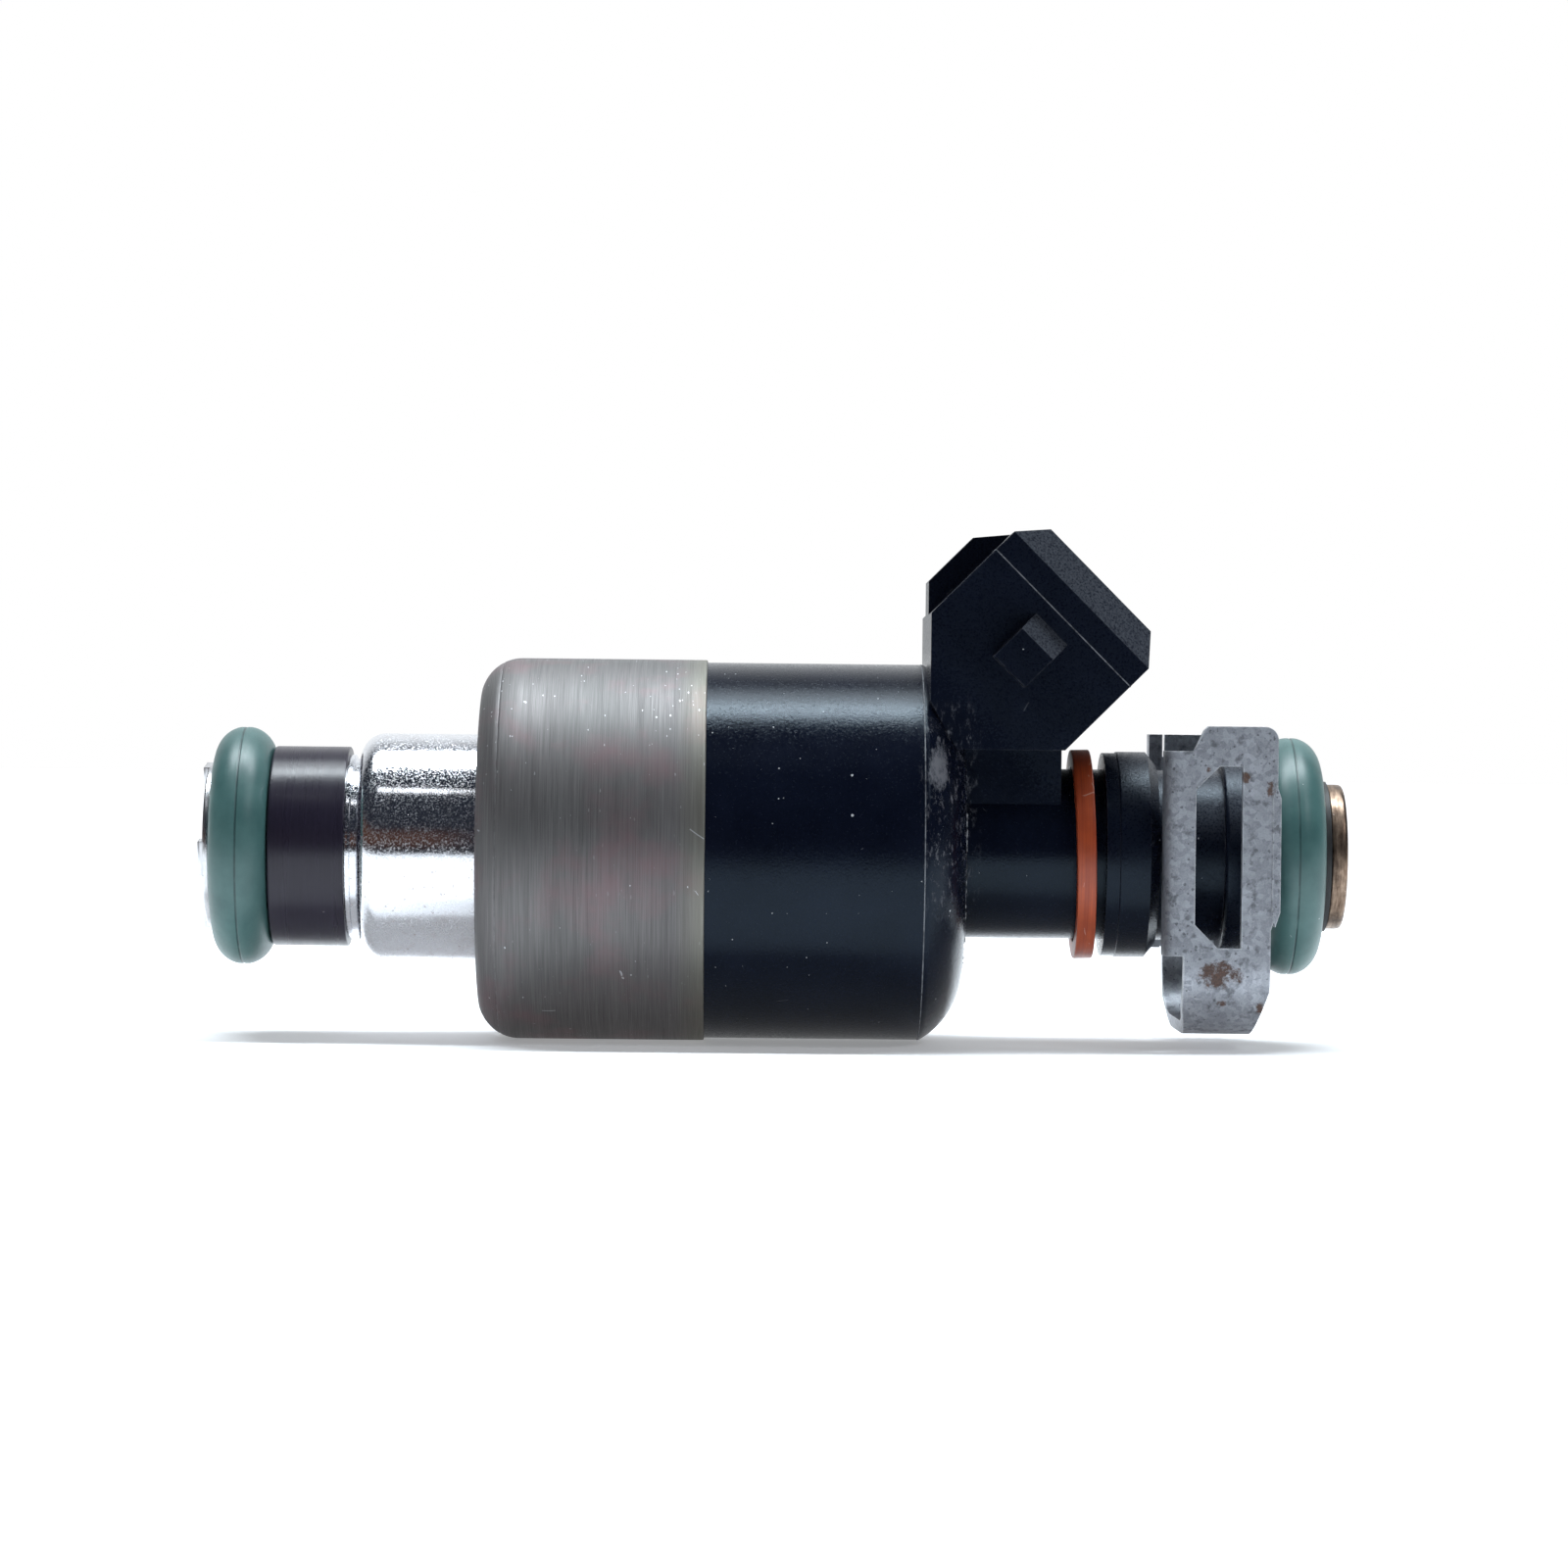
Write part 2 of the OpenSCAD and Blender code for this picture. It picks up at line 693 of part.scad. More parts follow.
// Bead pressed along the right edge of each plate, pointed at both ends
module clip_bead(side) {
    bead_t = clip_t + 0.2;
    translate([0, side * (clip_y - clip_t / 2) + bead_t / 2, 0]) rotate([90, 0, 0])
        linear_extrude(height = bead_t)
            polygon([[bead_x, bead_low_z + bead_taper], [plate_end_x - 0.1, bead_low_z],
                     [bead_end_x, bead_low_z + bead_taper], [bead_end_x, bead_high_z - bead_taper],
                     [plate_end_x - 0.1, bead_high_z], [bead_x, bead_high_z - bead_taper]]);
}

module retainer_clip() {
    color("darkgray") {
        clip_band();
        clip_plate(true);
        clip_plate(false);
        clip_lip(true);
        clip_lip(false);
        clip_bead(-1);
        clip_bead(1);
    }
}

tip_retainer();
lower_o_ring();
spacer_band();
spray_housing();
director_plate();
valve_seat();
seat_seal();
ball_guide();
ball_valve();
sliding_core();
core_spring();
solenoid_housing();
coil_bobbin();
coil_winding();
bobbin_front_seal();
bobbin_rear_seal();
flux_washer();
inlet_tube();
adjusting_sleeve();
filter_collar();
filter_basket();
terminal_left();
terminal_right();
connector_body();
id_ring();
upper_o_ring();
backup_ring();
retainer_clip();
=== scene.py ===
import json
import math

import bmesh
import bpy
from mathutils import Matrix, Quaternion, Vector


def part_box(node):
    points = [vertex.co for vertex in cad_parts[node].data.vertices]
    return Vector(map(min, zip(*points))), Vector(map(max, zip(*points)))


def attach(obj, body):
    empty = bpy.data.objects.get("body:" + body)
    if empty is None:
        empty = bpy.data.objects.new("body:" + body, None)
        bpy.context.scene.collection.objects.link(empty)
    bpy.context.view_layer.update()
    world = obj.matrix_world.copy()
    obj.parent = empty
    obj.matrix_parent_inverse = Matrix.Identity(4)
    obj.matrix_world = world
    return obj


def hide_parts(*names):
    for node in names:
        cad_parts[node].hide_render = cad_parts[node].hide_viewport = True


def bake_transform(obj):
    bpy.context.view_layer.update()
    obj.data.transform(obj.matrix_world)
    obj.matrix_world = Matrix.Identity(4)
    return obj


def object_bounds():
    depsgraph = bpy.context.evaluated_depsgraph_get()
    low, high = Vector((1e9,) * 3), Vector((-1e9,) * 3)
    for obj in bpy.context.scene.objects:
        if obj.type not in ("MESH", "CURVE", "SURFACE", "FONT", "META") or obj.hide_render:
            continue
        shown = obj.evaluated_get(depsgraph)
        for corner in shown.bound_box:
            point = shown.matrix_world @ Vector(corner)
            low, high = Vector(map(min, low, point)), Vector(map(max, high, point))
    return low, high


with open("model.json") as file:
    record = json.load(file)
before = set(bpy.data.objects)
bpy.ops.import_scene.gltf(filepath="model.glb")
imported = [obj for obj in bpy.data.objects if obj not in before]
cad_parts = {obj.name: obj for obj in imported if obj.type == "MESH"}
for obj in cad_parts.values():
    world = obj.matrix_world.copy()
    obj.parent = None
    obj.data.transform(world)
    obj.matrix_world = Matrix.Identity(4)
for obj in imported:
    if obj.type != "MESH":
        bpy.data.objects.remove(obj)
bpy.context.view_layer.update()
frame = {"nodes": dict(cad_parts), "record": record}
nodes = frame["nodes"]
mm = 0.001
print("injector: frame loaded")


# node helpers

def addNode(tree, kind, values=None, **settings):
    made = tree.nodes.new(kind)
    for key, value in settings.items():
        setattr(made, key, value)
    for key, value in (values or {}).items():
        socket = made.inputs[key]
        if isinstance(value, bpy.types.NodeSocket):
            tree.links.new(value, socket)
        else:
            socket.default_value = value
    return made


def calc(tree, operation, first, second=0.0, third=0.0, clamp=False):
    values = {0: first, 1: second}
    if operation == "SMOOTH_MIN":  # the only one here with a third value
        values[2] = third
    return addNode(tree, "ShaderNodeMath", values, operation=operation,
                   use_clamp=clamp).outputs[0]


def times(tree, first, second):
    return calc(tree, "MULTIPLY", first, second)


def plus(tree, first, second):
    return calc(tree, "ADD", first, second)


def most(tree, first, second):
    return calc(tree, "MAXIMUM", first, second)


def remap(tree, value, low, high, newLow=0.0, newHigh=1.0):
    return addNode(tree, "ShaderNodeMapRange",
                   {0: value, 1: low, 2: high, 3: newLow, 4: newHigh}).outputs[0]


def blend(tree, factor, first, second):
    made = addNode(tree, "ShaderNodeMix", {0: factor, 6: first, 7: second},
                   data_type="RGBA", blend_type="MIX")
    return made.outputs[2]


def stretch(tree, vector, scale):
    return addNode(tree, "ShaderNodeVectorMath", {0: vector, 1: scale},
                   operation="MULTIPLY").outputs[0]


def noiseAt(tree, vector, scale, detail=3.0, rough=0.55):
    return addNode(tree, "ShaderNodeTexNoise", {"Vector": vector, "Scale": scale,
                   "Detail": detail, "Roughness": rough}).outputs["Fac"]


def startGroup(name, inputs, outputs):
    tree = bpy.data.node_groups.new(name, "ShaderNodeTree")
    for label, value in inputs.items():
        kind = "NodeSocketVector" if value is None else "NodeSocketFloat"
        socket = tree.interface.new_socket(label, in_out="INPUT", socket_type=kind)
        if value is not None:
            socket.default_value = value
    for label in outputs:
        tree.interface.new_socket(label, in_out="OUTPUT", socket_type="NodeSocketFloat")
    return tree, tree.nodes.new("NodeGroupInput").outputs, tree.nodes.new("NodeGroupOutput")


def useGroup(tree, group, values):
    made = tree.nodes.new("ShaderNodeGroup")
    made.node_tree = group
    for key, value in values.items():
        if isinstance(value, bpy.types.NodeSocket):
            tree.links.new(value, made.inputs[key])
        else:
            made.inputs[key].default_value = value
    return made.outputs


def maskOf(tree, group, at, **values):
    # the first output of a shared effect, with its inputs given in small letters
    named = {key.title(): value for key, value in values.items()}
    return useGroup(tree, group, {"Vector": at, **named})[0]


# shared surface effects, all on millimetre coordinates

def makeTurningMarks():
    # fine lines left by a tool that ran round the X axis
    tree, given, out = startGroup("turningMarks",
                                  {"Vector": None, "Fineness": 10.0, "Sweep": 0.15},
                                  ["Lines", "Bands"])
    scale = addNode(tree, "ShaderNodeCombineXYZ",
                    {0: given["Fineness"], 1: given["Sweep"], 2: given["Sweep"]}).outputs[0]
    lines = noiseAt(tree, stretch(tree, given["Vector"], scale), 1.0, 4.0, 0.65)
    broad = stretch(tree, given["Vector"], (1.6, 0.05, 0.05))
    bands = noiseAt(tree, broad, 1.0, 3.0, 0.6)
    tree.links.new(lines, out.inputs["Lines"])
    tree.links.new(bands, out.inputs["Bands"])
    return tree


def makeSpecks():
    # loose grains of different sizes, gathered in clumps
    tree, given, out = startGroup("specks",
                                  {"Vector": None, "Spacing": 1.0, "Size": 0.2, "Share": 0.3,
                                   "Seed": 0.0},
                                  ["Mask"])
    shift = addNode(tree, "ShaderNodeCombineXYZ",
                    {0: given["Seed"], 1: given["Seed"], 2: given["Seed"]}).outputs[0]
    scaled = addNode(tree, "ShaderNodeVectorMath", {0: given["Vector"], 1: shift},
                     operation="ADD").outputs[0]
    grow = calc(tree, "DIVIDE", 1.0, given["Spacing"])
    cells = addNode(tree, "ShaderNodeTexVoronoi", {"Vector": scaled, "Scale": grow})
    split = addNode(tree, "ShaderNodeSeparateColor", {0: cells.outputs["Color"]}).outputs
    width = times(tree, calc(tree, "POWER", split[0], 2.2), given["Size"])
    wobble = noiseAt(tree, scaled, 9.0, 2.0)
    edge = times(tree, width, remap(tree, wobble, 0.3, 0.7, 0.5, 1.3))
    dot = calc(tree, "LESS_THAN", cells.outputs["Distance"], edge)
    clump = noiseAt(tree, scaled, 0.22, 2.0)
    chance = times(tree, given["Share"], remap(tree, clump, 0.35, 0.65, 0.25, 1.6))
    kept = calc(tree, "LESS_THAN", split[1], chance)
    tree.links.new(times(tree, dot, kept), out.inputs["Mask"])
    return tree


def makeEdgeWear():
    # rubbed edges, broken up so that no edge is worn evenly
    tree, given, out = startGroup("edgeWear",
                                  {"Vector": None, "Reach": 0.12, "Gain": 3.0, "Breakup": 2.0},
                                  ["Mask"])
    reach = times(tree, given["Reach"], mm)
    bevel = addNode(tree, "ShaderNodeBevel", {"Radius": reach}, samples=6)
    flat = addNode(tree, "ShaderNodeNewGeometry").outputs["Normal"]
    along = addNode(tree, "ShaderNodeVectorMath", {0: bevel.outputs[0], 1: flat},
                    operation="DOT_PRODUCT").outputs["Value"]
    turn = calc(tree, "SUBTRACT", 1.0, along)
    patch = remap(tree, noiseAt(tree, given["Vector"], given["Breakup"], 4.0), 0.36, 0.62)
    mask = calc(tree, "MULTIPLY", times(tree, turn, given["Gain"]), patch, clamp=True)
    tree.links.new(mask, out.inputs["Mask"])
    return tree


def makeClouds():
    # slow drift of tone over a surface
    tree, given, out = startGroup("clouds",
                                  {"Vector": None, "Size": 4.0, "Low": 0.35, "High": 0.65,
                                   "Seed": 0.0},
                                  ["Mask"])
    shift = addNode(tree, "ShaderNodeCombineXYZ",
                    {0: given["Seed"], 1: 0.0, 2: given["Seed"]}).outputs[0]
    moved = addNode(tree, "ShaderNodeVectorMath", {0: given["Vector"], 1: shift},
                    operation="ADD").outputs[0]
    scale = calc(tree, "DIVIDE", 1.0, given["Size"])
    cloud = noiseAt(tree, moved, scale, 5.0, 0.6)
    tree.links.new(remap(tree, cloud, given["Low"], given["High"]), out.inputs["Mask"])
    return tree


def makeScratches():
    # thin stray scratches, long in one direction
    tree, given, out = startGroup("scratches",
                                  {"Vector": None, "Spacing": 2.0, "Width": 0.02,
                                   "Share": 0.4, "Turn": 0.6},
                                  ["Mask"])
    warp = addNode(tree, "ShaderNodeTexNoise", {"Vector": given["Vector"], "Scale": 0.25,
                                                "Detail": 2.0}).outputs["Color"]
    bent = addNode(tree, "ShaderNodeVectorMath", {0: given["Vector"], 1: warp},
                   operation="ADD").outputs[0]
    turned = addNode(tree, "ShaderNodeVectorRotate",
                     {"Vector": bent, "Axis": (0.1, 1.0, 0.1), "Angle": given["Turn"]})
    slim = stretch(tree, turned.outputs[0], (1.0, 1.0, 0.12))
    scale = calc(tree, "DIVIDE", 1.0, given["Spacing"])
    cells = addNode(tree, "ShaderNodeTexVoronoi", {"Vector": slim, "Scale": scale},
                    feature="DISTANCE_TO_EDGE")
    line = calc(tree, "LESS_THAN", cells.outputs["Distance"], given["Width"])
    gaps = noiseAt(tree, given["Vector"], 0.45, 3.0)
    kept = calc(tree, "LESS_THAN", remap(tree, gaps, 0.3, 0.7), given["Share"])
    tree.links.new(times(tree, line, kept), out.inputs["Mask"])
    return tree


turningMarks = makeTurningMarks()
specks = makeSpecks()
edgeWear = makeEdgeWear()
clouds = makeClouds()
scratches = makeScratches()
print("injector: surface effects built")


# finishes

def startFinish(name, roughness, metallic=0.0, specular=0.5):
    made = bpy.data.materials.new(name)
    made.use_nodes = True
    tree = made.node_tree
    tree.nodes.clear()
    sink = tree.nodes.new("ShaderNodeOutputMaterial")
    shader = addNode(tree, "ShaderNodeBsdfPrincipled",
                     {"Roughness": roughness, "Metallic": metallic,
                      "Specular IOR Level": specular})
    tree.links.new(shader.outputs[0], sink.inputs[0])
    place = addNode(tree, "ShaderNodeTexCoord").outputs["Object"]
    return made, tree, shader, stretch(tree, place, (1 / mm, 1 / mm, 1 / mm))


def feed(tree, shader, **sockets):
    for key, value in sockets.items():
        label = {"colour": "Base Color", "roughness": "Roughness", "metallic": "Metallic",
                 "normal": "Normal"}[key]
        tree.links.new(value, shader.inputs[label])


def relief(tree, height, depth, strength=1.0, under=None):
    values = {"Height": height, "Distance": depth * mm, "Strength": strength}
    if under is not None:
        values["Normal"] = under
    return addNode(tree, "ShaderNodeBump", values).outputs[0]


chromeLook = {"tone": (0.80, 0.81, 0.85, 1), "rust": (0.22, 0.09, 0.05, 1),
              "roughness": 0.07, "peel": 0.0042}


def makeChrome(name, look):
    made, tree, shader, at = startFinish(name, look["roughness"], 1.0)
    peel = noiseAt(tree, at, 7.0, 3.0, 0.7)
    soft = noiseAt(tree, at, 1.3, 2.0)
    pits = maskOf(tree, specks, at, spacing=0.24, size=0.40, share=0.34, seed=3.0)
    stain = maskOf(tree, clouds, at, size=1.2, low=0.52, high=0.72, seed=9.0)
    haze = remap(tree, noiseAt(tree, at, 9.0, 3.0, 0.8), 0.50, 0.60)  # frosted grains
    colour = blend(tree, times(tree, pits, 0.30), look["tone"], look["rust"])
    colour = blend(tree, times(tree, stain, 0.14), colour, look["rust"])
    dull = times(tree, most(tree, pits, haze), 0.34)
    rough = plus(tree, remap(tree, soft, 0.3, 0.7, 0.03, 0.09), dull)
    normal = relief(tree, plus(tree, peel, times(tree, soft, 0.7)), look["peel"])
    normal = relief(tree, times(tree, pits, -1.0), 0.01, 0.6, normal)
    feed(tree, shader, colour=colour, roughness=rough, normal=normal)
    return made


# the pale glint colour paints highlights on the steel's glints and also colours its rubbed
# scratches and edges
canLook = {"dark": (0.118, 0.112, 0.113, 1), "light": (0.205, 0.196, 0.196, 1),
           "green": (0.125, 0.150, 0.142, 1), "rose": (0.24, 0.140, 0.155, 1),
           "straw": (0.27, 0.265, 0.19, 1), "spark": (0.62, 0.63, 0.66, 1),
           "fineness": 24.0, "rimX": (26.4, 28.2), "paintedGlintZ": (1.0, 9.0)}


def makeCanSteel(name, look):
    made, tree, shader, at = startFinish(name, 0.6, 0.8)
    lines, bands = useGroup(tree, turningMarks, {"Vector": at, "Fineness": look["fineness"],
                                                 "Sweep": 0.22})
    green = maskOf(tree, clouds, at, size=7.0, low=0.46, high=0.66, seed=14.0)
    rose = maskOf(tree, clouds, at, size=4.5, low=0.50, high=0.68, seed=47.0)
    where = addNode(tree, "ShaderNodeSeparateXYZ", {0: at}).outputs
    rimGlow = remap(tree, where[0], *look["rimX"])
    # glints and sparkles are painted highlights: specks of near-white colour
    paintedGlints = maskOf(tree, specks, stretch(tree, at, (1.0, 1.0, 0.5)), spacing=0.34,
                    size=0.17, share=0.16, seed=21.0)
    marks = maskOf(tree, scratches, at, spacing=4.6, width=0.006, share=0.10, turn=1.0)
    paintedSparkles = maskOf(tree, specks, stretch(tree, at, (1.0, 0.5, 0.35)), spacing=0.17,
                    size=0.30, share=0.20, seed=63.0)
    edge = maskOf(tree, edgeWear, at, reach=0.25, gain=2.6, breakup=1.5)
    colour = blend(tree, remap(tree, lines, 0.32, 0.70), look["dark"], look["light"])
    colour = blend(tree, times(tree, green, 0.16), colour, look["green"])
    colour = blend(tree, times(tree, rose, 0.42), colour, look["rose"])
    colour = blend(tree, times(tree, rimGlow, 0.35), colour, look["straw"])
    high = remap(tree, where[2], *look["paintedGlintZ"], 0.15, 1.0)  # painted highlight: more glints towards the top, where the light falls
    paintedGlints = most(tree, paintedGlints, times(tree, paintedSparkles, high))
    rubbed = most(tree, times(tree, marks, 0.6), times(tree, edge, 0.6))
    bright = most(tree, times(tree, paintedGlints, 0.7), rubbed)
    # painted highlights on the glints, together with the real rubbed scratches and edges, in
    # one pale colour
    colour = blend(tree, bright, colour, look["spark"])
    rough = remap(tree, bands, 0.3, 0.7, 0.52, 0.66)
    rough = calc(tree, "SUBTRACT", rough, times(tree, paintedGlints, 0.12))
    normal = relief(tree, lines, 0.010, 0.55)
    normal = relief(tree, bands, 0.012, 0.4, normal)
    feed(tree, shader, colour=colour, roughness=rough, normal=normal)
    return made


mouldLook = {"tone": (0.0026, 0.0038, 0.0095, 1), "pale": (0.0046, 0.0066, 0.0150, 1),
             # the pale grainy tone is painted light on the faces near the socket's mouth, on
             # top of their grain
             "paintedLitGrain": (0.052, 0.056, 0.068, 1), "glint": (0.66, 0.85, 1.0, 1),
             "scuff": (0.20, 0.20, 0.22, 1), "dust": (0.70, 0.72, 0.74, 1),
             "scuffX": (41.3, 44.4), "scuffZ": (-2.6, 8.6),
             "rubAt": (42.1, 5.3), "rubSize": (0.75, 1.5),
             # X plus Z, which grows towards the socket's mouth
             "socketFrom": (52.0, 54.0), "wornFrom": (54.0, 58.0), "mouthFrom": (58.0, 59.0)}


def between(tree, value, low, high, soft):
    rise = remap(tree, value, low - soft, low + soft)
    fall = remap(tree, value, high - soft, high + soft, 1.0, 0.0)
    return times(tree, rise, fall)


def makeMouldedBlack(name, look):
    made, tree, shader, at = startFinish(name, 0.3, 0.0, 0.19)
    shader.inputs["Specular Tint"].default_value = look["glint"]
    where = addNode(tree, "ShaderNodeSeparateXYZ", {0: at}).outputs
    peel = noiseAt(tree, at, 4.5, 3.0, 0.6)
    pores = noiseAt(tree, at, 7.5, 3.0, 0.65)
    drift = maskOf(tree, clouds, at, size=5.0, seed=5.0)
    dust = maskOf(tree, specks, at, spacing=0.85, size=0.13, share=0.20, seed=31.0)
    grains = maskOf(tree, specks, at, spacing=0.33, size=0.17, share=0.13, seed=77.0)
    marks = maskOf(tree, scratches, at, spacing=3.1, width=0.005, share=0.10, turn=2.2)
    edge = maskOf(tree, edgeWear, at, reach=0.16, gain=1.5, breakup=2.4)
    patch = times(tree, between(tree, where[0], *look["scuffX"], 0.5),
                  between(tree, where[2], *look["scuffZ"], 1.5))
    torn = noiseAt(tree, stretch(tree, at, (3.2, 1.6, 1.3)), 1.0, 6.0, 0.75)
    scuff = times(tree, patch, remap(tree, torn, 0.54, 0.70))
    across = calc(tree, "DIVIDE", calc(tree, "SUBTRACT", where[0], look["rubAt"][0]),
                  look["rubSize"][0])
    up = calc(tree, "DIVIDE", calc(tree, "SUBTRACT", where[2], look["rubAt"][1]),
              look["rubSize"][1])
    far = plus(tree, times(tree, across, across), times(tree, up, up))
    rub = calc(tree, "SUBTRACT", remap(tree, torn, 0.3, 0.7, 0.2, 1.8), far)
    rub = remap(tree, rub, 0.0, 0.9)
    rub = times(tree, rub, calc(tree, "LESS_THAN", where[1], 0.0))
    scuff = most(tree, scuff, times(tree, rub, 0.8))
    colour = blend(tree, drift, look["tone"], look["pale"])
    towardMouth = plus(tree, where[0], where[2])
    worn = remap(tree, towardMouth, *look["wornFrom"], 0.20, 0.60)
    colour = blend(tree, times(tree, edge, worn), colour, look["scuff"])
    colour = blend(tree, times(tree, scuff, 0.8), colour, look["scuff"])
    colour = blend(tree, times(tree, marks, 0.25), colour, look["scuff"])
    dirt = most(tree, dust, times(tree, grains, 0.7))
    colour = blend(tree, times(tree, dirt, 0.75), colour, look["dust"])
    socket = remap(tree, towardMouth, *look["socketFrom"])
    # faces that lean towards the socket's mouth get a paler grainy tone: painted light from
    # above the mouth, broken up by the real grain of the surface
    lean = addNode(tree, "ShaderNodeAttribute", attribute_name="mouthLean").outputs["Fac"]
    nearMouth = remap(tree, towardMouth, *look["mouthFrom"])
    paintedLitMouthGrain = times(tree, remap(tree, lean, 0.10, 0.45), nearMouth)
    paintedLitMouthGrain = times(tree, paintedLitMouthGrain, remap(tree, pores, 0.36, 0.62, 0.25, 1.0))
    colour = blend(tree, paintedLitMouthGrain, colour, look["paintedLitGrain"])
    rough = plus(tree, remap(tree, peel, 0.3, 0.7, 0.11, 0.19), times(tree, socket, 0.16))
    rough = plus(tree, rough, remap(tree, pores, 0.40, 0.62, -0.06, 0.12))
    dull = times(tree, most(tree, scuff, dirt), 0.4)
    rough = calc(tree, "ADD", rough, dull, clamp=True)
    normal = relief(tree, peel, 0.011, 0.6)
    normal = relief(tree, pores, 0.015, 0.9, normal)
    normal = relief(tree, plus(tree, dirt, scuff), 0.02, 0.5, normal)
    feed(tree, shader, colour=colour, roughness=rough, normal=normal)
    return made


flashLook = {"tone": (0.010, 0.011, 0.014, 1), "torn": (0.55, 0.56, 0.58, 1),
             "low": 0.50, "high": 0.60}
seamLook = {"tone": (0.012, 0.014, 0.020, 1), "torn": (0.17, 0.18, 0.20, 1),
            "low": 0.34, "high": 0.56}


def makeTornFlash(name, look):
    # stress-whitened scraps of moulding
    made, tree, shader, at = startFinish(name, 0.55)
    torn = maskOf(tree, clouds, at, size=0.55, low=look["low"], high=look["high"], seed=3.0)
    grain = noiseAt(tree, at, 9.0, 4.0, 0.7)
    colour = blend(tree, torn, look["tone"], look["torn"])
    rough = remap(tree, grain, 0.3, 0.7, 0.40, 0.65)
    feed(tree, shader, colour=colour, roughness=rough, normal=relief(tree, grain, 0.02))
    return made


rubberLook = {"tone": (0.040, 0.105, 0.102, 1), "pale": (0.068, 0.152, 0.146, 1),
              "dust": (0.75, 0.80, 0.80, 1), "line": (0.010, 0.035, 0.036, 1),
              "crownFrom": 6.9, "lineWidth": (0.03, 0.09)}


def makeSealRubber(name, look, stations):
    made, tree, shader, at = startFinish(name, 0.42)
    where = addNode(tree, "ShaderNodeSeparateXYZ", {0: at}).outputs
    drift = maskOf(tree, clouds, at, size=3.0, seed=2.0)
    grain = noiseAt(tree, at, 11.0, 3.0, 0.6)
    dust = maskOf(tree, specks, at, spacing=0.9, size=0.12, share=0.16, seed=12.0)
    rub = maskOf(tree, scratches, at, spacing=3.0, width=0.006, share=0.08, turn=0.3)
    line = None
    for station in stations:
        near = calc(tree, "ABSOLUTE", calc(tree, "SUBTRACT", where[0], station))
        mark = remap(tree, near, *look["lineWidth"], 1.0, 0.0)
        line = mark if line is None else most(tree, line, mark)
    broken = remap(tree, noiseAt(tree, at, 1.1, 2.0), 0.30, 0.55, 0.45, 1.0)
    square = plus(tree, times(tree, where[1], where[1]), times(tree, where[2], where[2]))
    reach = calc(tree, "POWER", square, 0.5)
    crown = calc(tree, "GREATER_THAN", reach, look["crownFrom"])
    line = times(tree, times(tree, line, broken), crown)
    colour = blend(tree, drift, look["tone"], look["pale"])
    colour = blend(tree, times(tree, line, 0.8), colour, look["line"])
    colour = blend(tree, times(tree, rub, 0.22), colour, look["dust"])
    colour = blend(tree, times(tree, dust, 0.7), colour, look["dust"])
    rough = remap(tree, grain, 0.3, 0.7, 0.34, 0.46)
    normal = relief(tree, grain, 0.004, 0.45)
    feed(tree, shader, colour=colour, roughness=rough, normal=normal)
    return made


satinLook = {"tone": (0.013, 0.0105, 0.0200, 1), "pale": (0.021, 0.017, 0.031, 1),
             "rubbed": (0.23, 0.21, 0.22, 1)}


def makeSatinBlack(name, look):
    made, tree, shader, at = startFinish(name, 0.3, 0.0, 0.34)
    lines, bands = useGroup(tree, turningMarks, {"Vector": at, "Fineness": 9.0, "Sweep": 0.30})
    dust = maskOf(tree, specks, at, spacing=0.55, size=0.13, share=0.22, seed=8.0)
    edge = maskOf(tree, edgeWear, at, reach=0.15, gain=2.4, breakup=2.0)
    colour = blend(tree, remap(tree, lines, 0.25, 0.8), look["tone"], look["pale"])
    colour = blend(tree, times(tree, edge, 0.3), colour, look["rubbed"])
    colour = blend(tree, times(tree, dust, 0.45), colour, look["rubbed"])
    rough = remap(tree, bands, 0.3, 0.7, 0.26, 0.31)
    normal = relief(tree, noiseAt(tree, at, 9.0), 0.004, 0.5)
    feed(tree, shader, colour=colour, roughness=rough, normal=normal)
    return made


ringLook = {"tone": (0.33, 0.046, 0.012, 1), "bright": (0.52, 0.090, 0.022, 1),
            "deep": (0.19, 0.028, 0.010, 1), "dust": (0.70, 0.50, 0.42, 1)}


def makeRingOrange(name, look):
    made, tree, shader, at = startFinish(name, 0.42)
    lines, bands = useGroup(tree, turningMarks, {"Vector": at, "Fineness": 7.0, "Sweep": 0.12})
    drift = maskOf(tree, clouds, at, size=2.6, seed=6.0)
    dust = maskOf(tree, specks, at, spacing=0.7, size=0.12, share=0.15, seed=19.0)
    rub = maskOf(tree, scratches, at, spacing=1.3, width=0.02, share=0.40, turn=0.1)
    colour = blend(tree, remap(tree, lines, 0.35, 0.68), look["tone"], look["bright"])
    colour = blend(tree, times(tree, drift, 0.5), colour, look["deep"])
    colour = blend(tree, times(tree, most(tree, rub, dust), 0.35), colour, look["dust"])
    rough = remap(tree, bands, 0.3, 0.7, 0.34, 0.48)
    feed(tree, shader, colour=colour, roughness=rough, normal=relief(tree, lines, 0.006, 0.5))
    return made


zincLook = {"tone": (0.24, 0.255, 0.285, 1), "pale": (0.47, 0.49, 0.54, 1),
            "dark": (0.055, 0.058, 0.066, 1), "sheared": (0.82, 0.84, 0.86, 1),
            "rust": (0.060, 0.034, 0.025, 1), "fresh": (0.24, 0.095, 0.045, 1),
            "rustSpots": [(59.0, -7.0, 1.35, 0.85), (59.2, -8.75, 0.35, 0.25),
                          (60.5, 4.8, 0.32, 0.4), (62.0, 4.2, 0.28, 0.5),
                          (61.6, -9.0, 0.25, 0.45), (58.3, 5.3, 0.2, 0.2)]}


